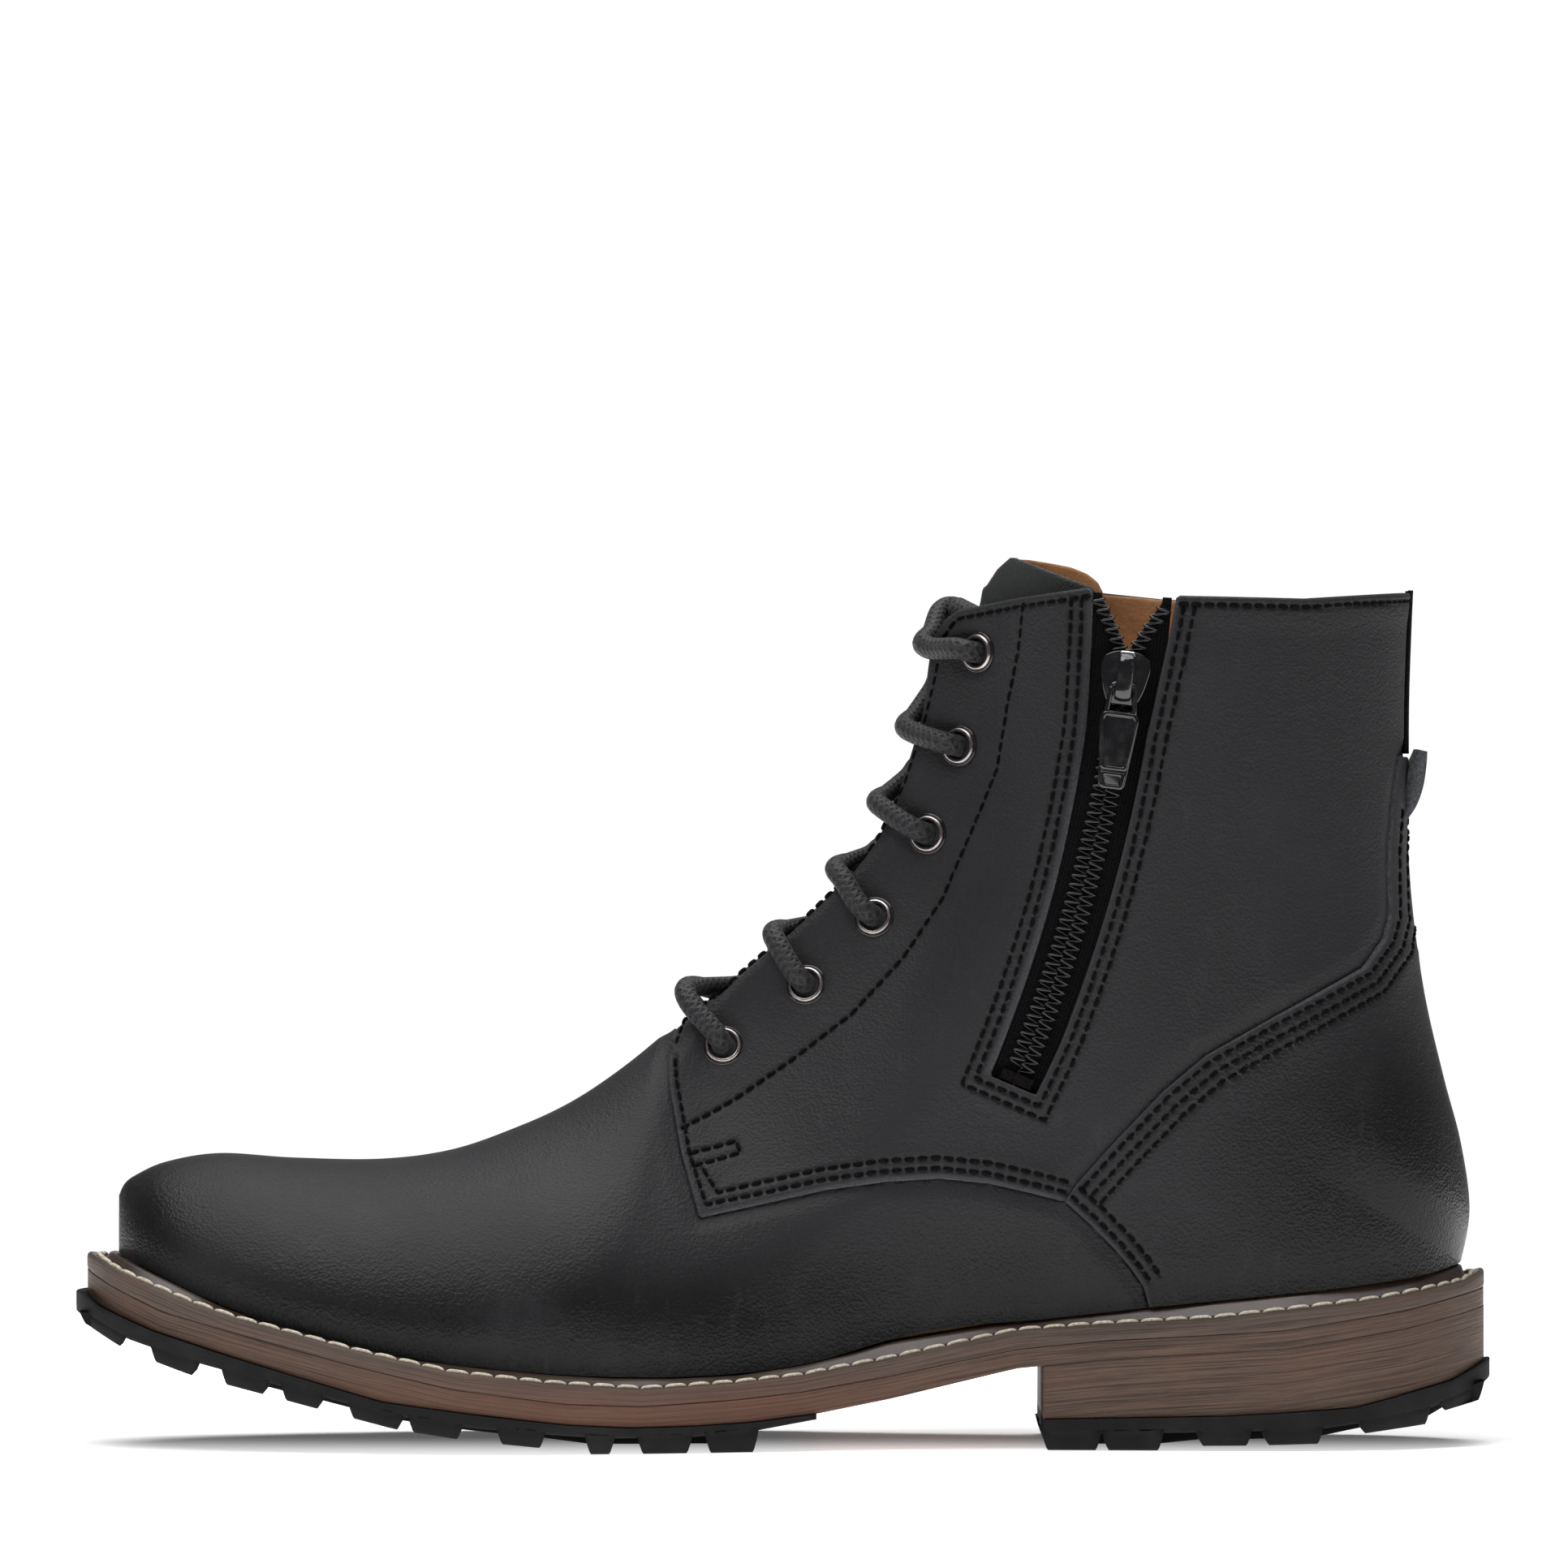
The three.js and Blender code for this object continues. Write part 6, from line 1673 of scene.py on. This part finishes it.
forward_dir = unit(np.gradient(lace_line, axis=0))
outward = np.array([min(eyelet_places.items(), key=lambda item: np.linalg.norm(item[1][0] - p))[1][1]
                    for p in lace_line])
middle_weight = (1 - smooth(5, 11, np.abs(lace_line[:, 1])))[:, None]
outward = unit(lerp(outward, np.array([-0.8, 0.0, 0.6]), middle_weight))
flat_side = unit(np.cross(outward, forward_dir))
for k in range(1, len(flat_side)):
    if flat_side[k].dot(flat_side[k - 1]) < 0:
        flat_side[k] = -flat_side[k]
flat_side = unit(smooth_rows(flat_side, 30))


def braid_swell(s, turn):
    """The braid's relief: s runs along the lace in millimetres, turn goes round it."""
    run = 2 * math.pi * s / 1.6
    return 0.03 * (np.sin(run + 6 * turn) * np.sin(run - 6 * turn))


lace_sides = 24
points, faces, uvs = tube(lace_line, flat_side, lace_sides, smooth_rows(width, 10), smooth_rows(height, 10),
                          wave=braid_swell)
finish_piece(mesh_object("lace_cord", points, faces, [CORD], uvs=uvs), "boot", "lace_cord", "lace")
for label, end, inner in (("1", lace_line[0], lace_line[1]), ("2", lace_line[-1], lace_line[-2])):
    out = unit(end - inner)
    path = np.array([end + out * v for v in (0.35, 0.6, 4, 8, 11.7, 12.2)])
    radius = np.array([0.9, 1.3, 1.3, 1.3, 1.2, 0.7])
    side_dir = np.tile(unit(np.cross(out, [0.3, 1.0, 0.2])), (len(path), 1))
    p, f, _ = tube(path, side_dir, 16, radius, radius)
    obj = mesh_object(f"aglet_tip_{label}", p, f, [LACQUER])
    finish_piece(obj, "boot", "aglet_plastic", f"aglet_{label}")

# ---------------------------------------------------------------- back tape and pull loop


def sheet_faces(n, m):
    """Faces of a closed sheet of n rows of m points, all front points first; kind 1 marks the rim."""
    front, back = np.arange(2 * n * m).reshape(2, n, m)
    quads = [np.stack([front[:-1, :-1], front[:-1, 1:], front[1:, 1:], front[1:, :-1]], -1),
             np.stack([back[:-1, :-1], back[1:, :-1], back[1:, 1:], back[:-1, 1:]], -1)]
    faces = [face for group in quads for face in group.reshape(-1, 4).tolist()]
    kinds = [0] * len(faces)
    rim = [(0, j) for j in range(m)] + [(i, m - 1) for i in range(1, n)]
    rim += [(n - 1, j) for j in range(m - 2, -1, -1)] + [(i, 0) for i in range(n - 2, 0, -1)]
    for (i, j), (k, q) in zip(rim, rim[1:] + rim[:1]):
        faces.append([int(front[i, j]), int(back[i, j]), int(back[k, q]), int(front[k, q])])
        kinds.append(1)
    return faces, kinds


def seam_bow(y):
    """How far the back seam's surface falls forwards at a distance y from the middle."""
    return (y / 26) ** 2 * 2.4


BACK_TAPE_HALF_WIDTH = 6.5


def back_tape():
    rows, uvs = [], []
    zs = np.linspace(150.2, 185.8, 40)
    us = np.linspace(-1, 1, 13)
    for depth in (-0.5, 0.25):
        for z in zs:
            a_samples = np.linspace(20, LAST, 400)
            ends = skin(a_samples, np.ones(400), depth)
            ex = float(np.interp(z, ends[:, 2], ends[:, 0]))
            for v in us:
                y = v * BACK_TAPE_HALF_WIDTH
                rows.append((ex - seam_bow(y) + (0.0 if abs(v) < 1 else -0.4), y, z))
                uvs.append((y, z))
    faces, _ = sheet_faces(len(zs), len(us))
    obj = mesh_object("back_ribbon", rows, faces, [TAPE], uvs=uvs)
    return finish_piece(obj, "boot", "tape", "back_tape")


back_tape()


def pull_loop():
    """The leather loop that stands away from the back seam above the counter."""
    outer = curve_through([(135.6, 135.4), (137.9, 138.8), (139.4, 143.0), (140.1, 147.5), (140.3, 150.7)], 6)
    inner = curve_through([(134.0, 135.8), (135.2, 139.0), (135.7, 143.0), (136.3, 147.0), (138.1, 151.2)], 6)
    widths = np.linspace(-8.5, 8.5, 15)
    rows = [(x - seam_bow(w), w, z) for line in (outer, inner) for x, z in line for w in widths]
    faces, kinds = sheet_faces(len(outer), len(widths))
    obj = mesh_object("pull_loop", rows, faces, [LEATHER, CUT_EDGE],
                      attributes={"edge": np.full(len(rows), 30.0)}, face_materials=kinds)
    return finish_piece(obj, "boot", "upper_leather")


pull_loop()

# ---------------------------------------------------------------- CAD nodes that stay, with their materials

KEPT = {f"heel_nail_{i}": STEEL for i in range(1, 6)} | {
    "shank": STEEL, "cork_filler": CORK, "insole_board": BOARD, "toe_puff": BOARD, "heel_counter": BOARD,
    "zip_bottom_stop": BLACK_THREAD}
for node, material in KEPT.items():
    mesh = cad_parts[node].data
    mesh.materials.clear()
    mesh.materials.append(material)

# ---------------------------------------------------------------- studio


def floor_material():
    """White, and lit from inside away from the boot, so that only the contact shadow shows."""
    s = Shader("white_floor")
    x, y, _ = s.position()
    far = s.math("MAXIMUM", s.math("ABSOLUTE", x), s.math("MULTIPLY", s.math("ABSOLUTE", y), 1.3))
    s.set(Base_Color=(1.0, 1.0, 1.0, 1.0), Roughness=1.0, Specular_IOR_Level=0.0)
    s.set(Emission_Color=(1.0, 1.0, 1.0, 1.0), Emission_Strength=s.remap(far, 0.14, 0.34, 0.1, 0.9))
    return s.material


def studio_world():
    """A dim room with a white wall behind the boot."""
    world = bpy.data.worlds.new("studio")
    bpy.context.scene.world = world
    world.use_nodes = True
    tree = world.node_tree
    coordinates = tree.nodes.new("ShaderNodeTexCoord")
    split = tree.nodes.new("ShaderNodeSeparateXYZ")
    wall = tree.nodes.new("ShaderNodeMapRange")
    for key, value in (("From Min", 0.96), ("From Max", 0.98), ("To Min", ROOM_LIGHT), ("To Max", 1.02)):
        wall.inputs[key].default_value = value
    background = tree.nodes["Background"]
    background.inputs["Color"].default_value = (1, 1, 1, 1)
    tree.links.new(coordinates.outputs["Generated"], split.inputs[0])
    tree.links.new(split.outputs["Y"], wall.inputs["Value"])
    tree.links.new(wall.outputs["Result"], background.inputs["Strength"])


ROOM_LIGHT = 0.1
bpy.ops.mesh.primitive_grid_add(x_subdivisions=1, y_subdivisions=1, size=2, location=(0, 0.1, -0.0002))
floor = bpy.context.object
floor.name = "floor"
floor.scale = (1.0, 0.65, 1.0)
floor.data.materials.append(floor_material())
studio_world()


def area_light(name, place, target, size, power):
    light = bpy.data.lights.new(name, "AREA")
    light.shape = "RECTANGLE"
    light.size, light.size_y = size
    light.energy = power
    obj = bpy.data.objects.new(name, light)
    bpy.context.scene.collection.objects.link(obj)
    obj.location = place
    direction = Vector(target) - Vector(place)
    obj.rotation_euler = direction.to_track_quat("-Z", "Y").to_euler()
    return obj


area_light("key", (-0.55, -0.75, 1.5), (0, 0, 0.08), (1.1, 0.8), 13)
area_light("top", (0.1, 0.1, 1.6), (0, 0, 0.1), (2.0, 1.6), 32)
area_light("side", (1.1, -1.1, 0.7), (0, 0, 0.1), (0.5, 0.5), 0.5)

CAMERA_PLACE = (0.0, -3.0, 0.15)
CAMERA_TARGET = (0.0, 0.0, 0.1436)
FRAME_WIDTH = 0.3423
camera_data = bpy.data.cameras.new("camera")
camera = bpy.data.objects.new("camera", camera_data)
bpy.context.scene.collection.objects.link(camera)
camera.location = CAMERA_PLACE
aim = Vector(CAMERA_TARGET) - Vector(CAMERA_PLACE)
camera.rotation_euler = aim.to_track_quat("-Z", "Y").to_euler()
camera_data.sensor_width = 36
camera_data.lens = 36 * aim.length / FRAME_WIDTH
camera_data.clip_end = 100
bpy.context.scene.camera = camera
bpy.context.scene.view_settings.view_transform = "Standard"
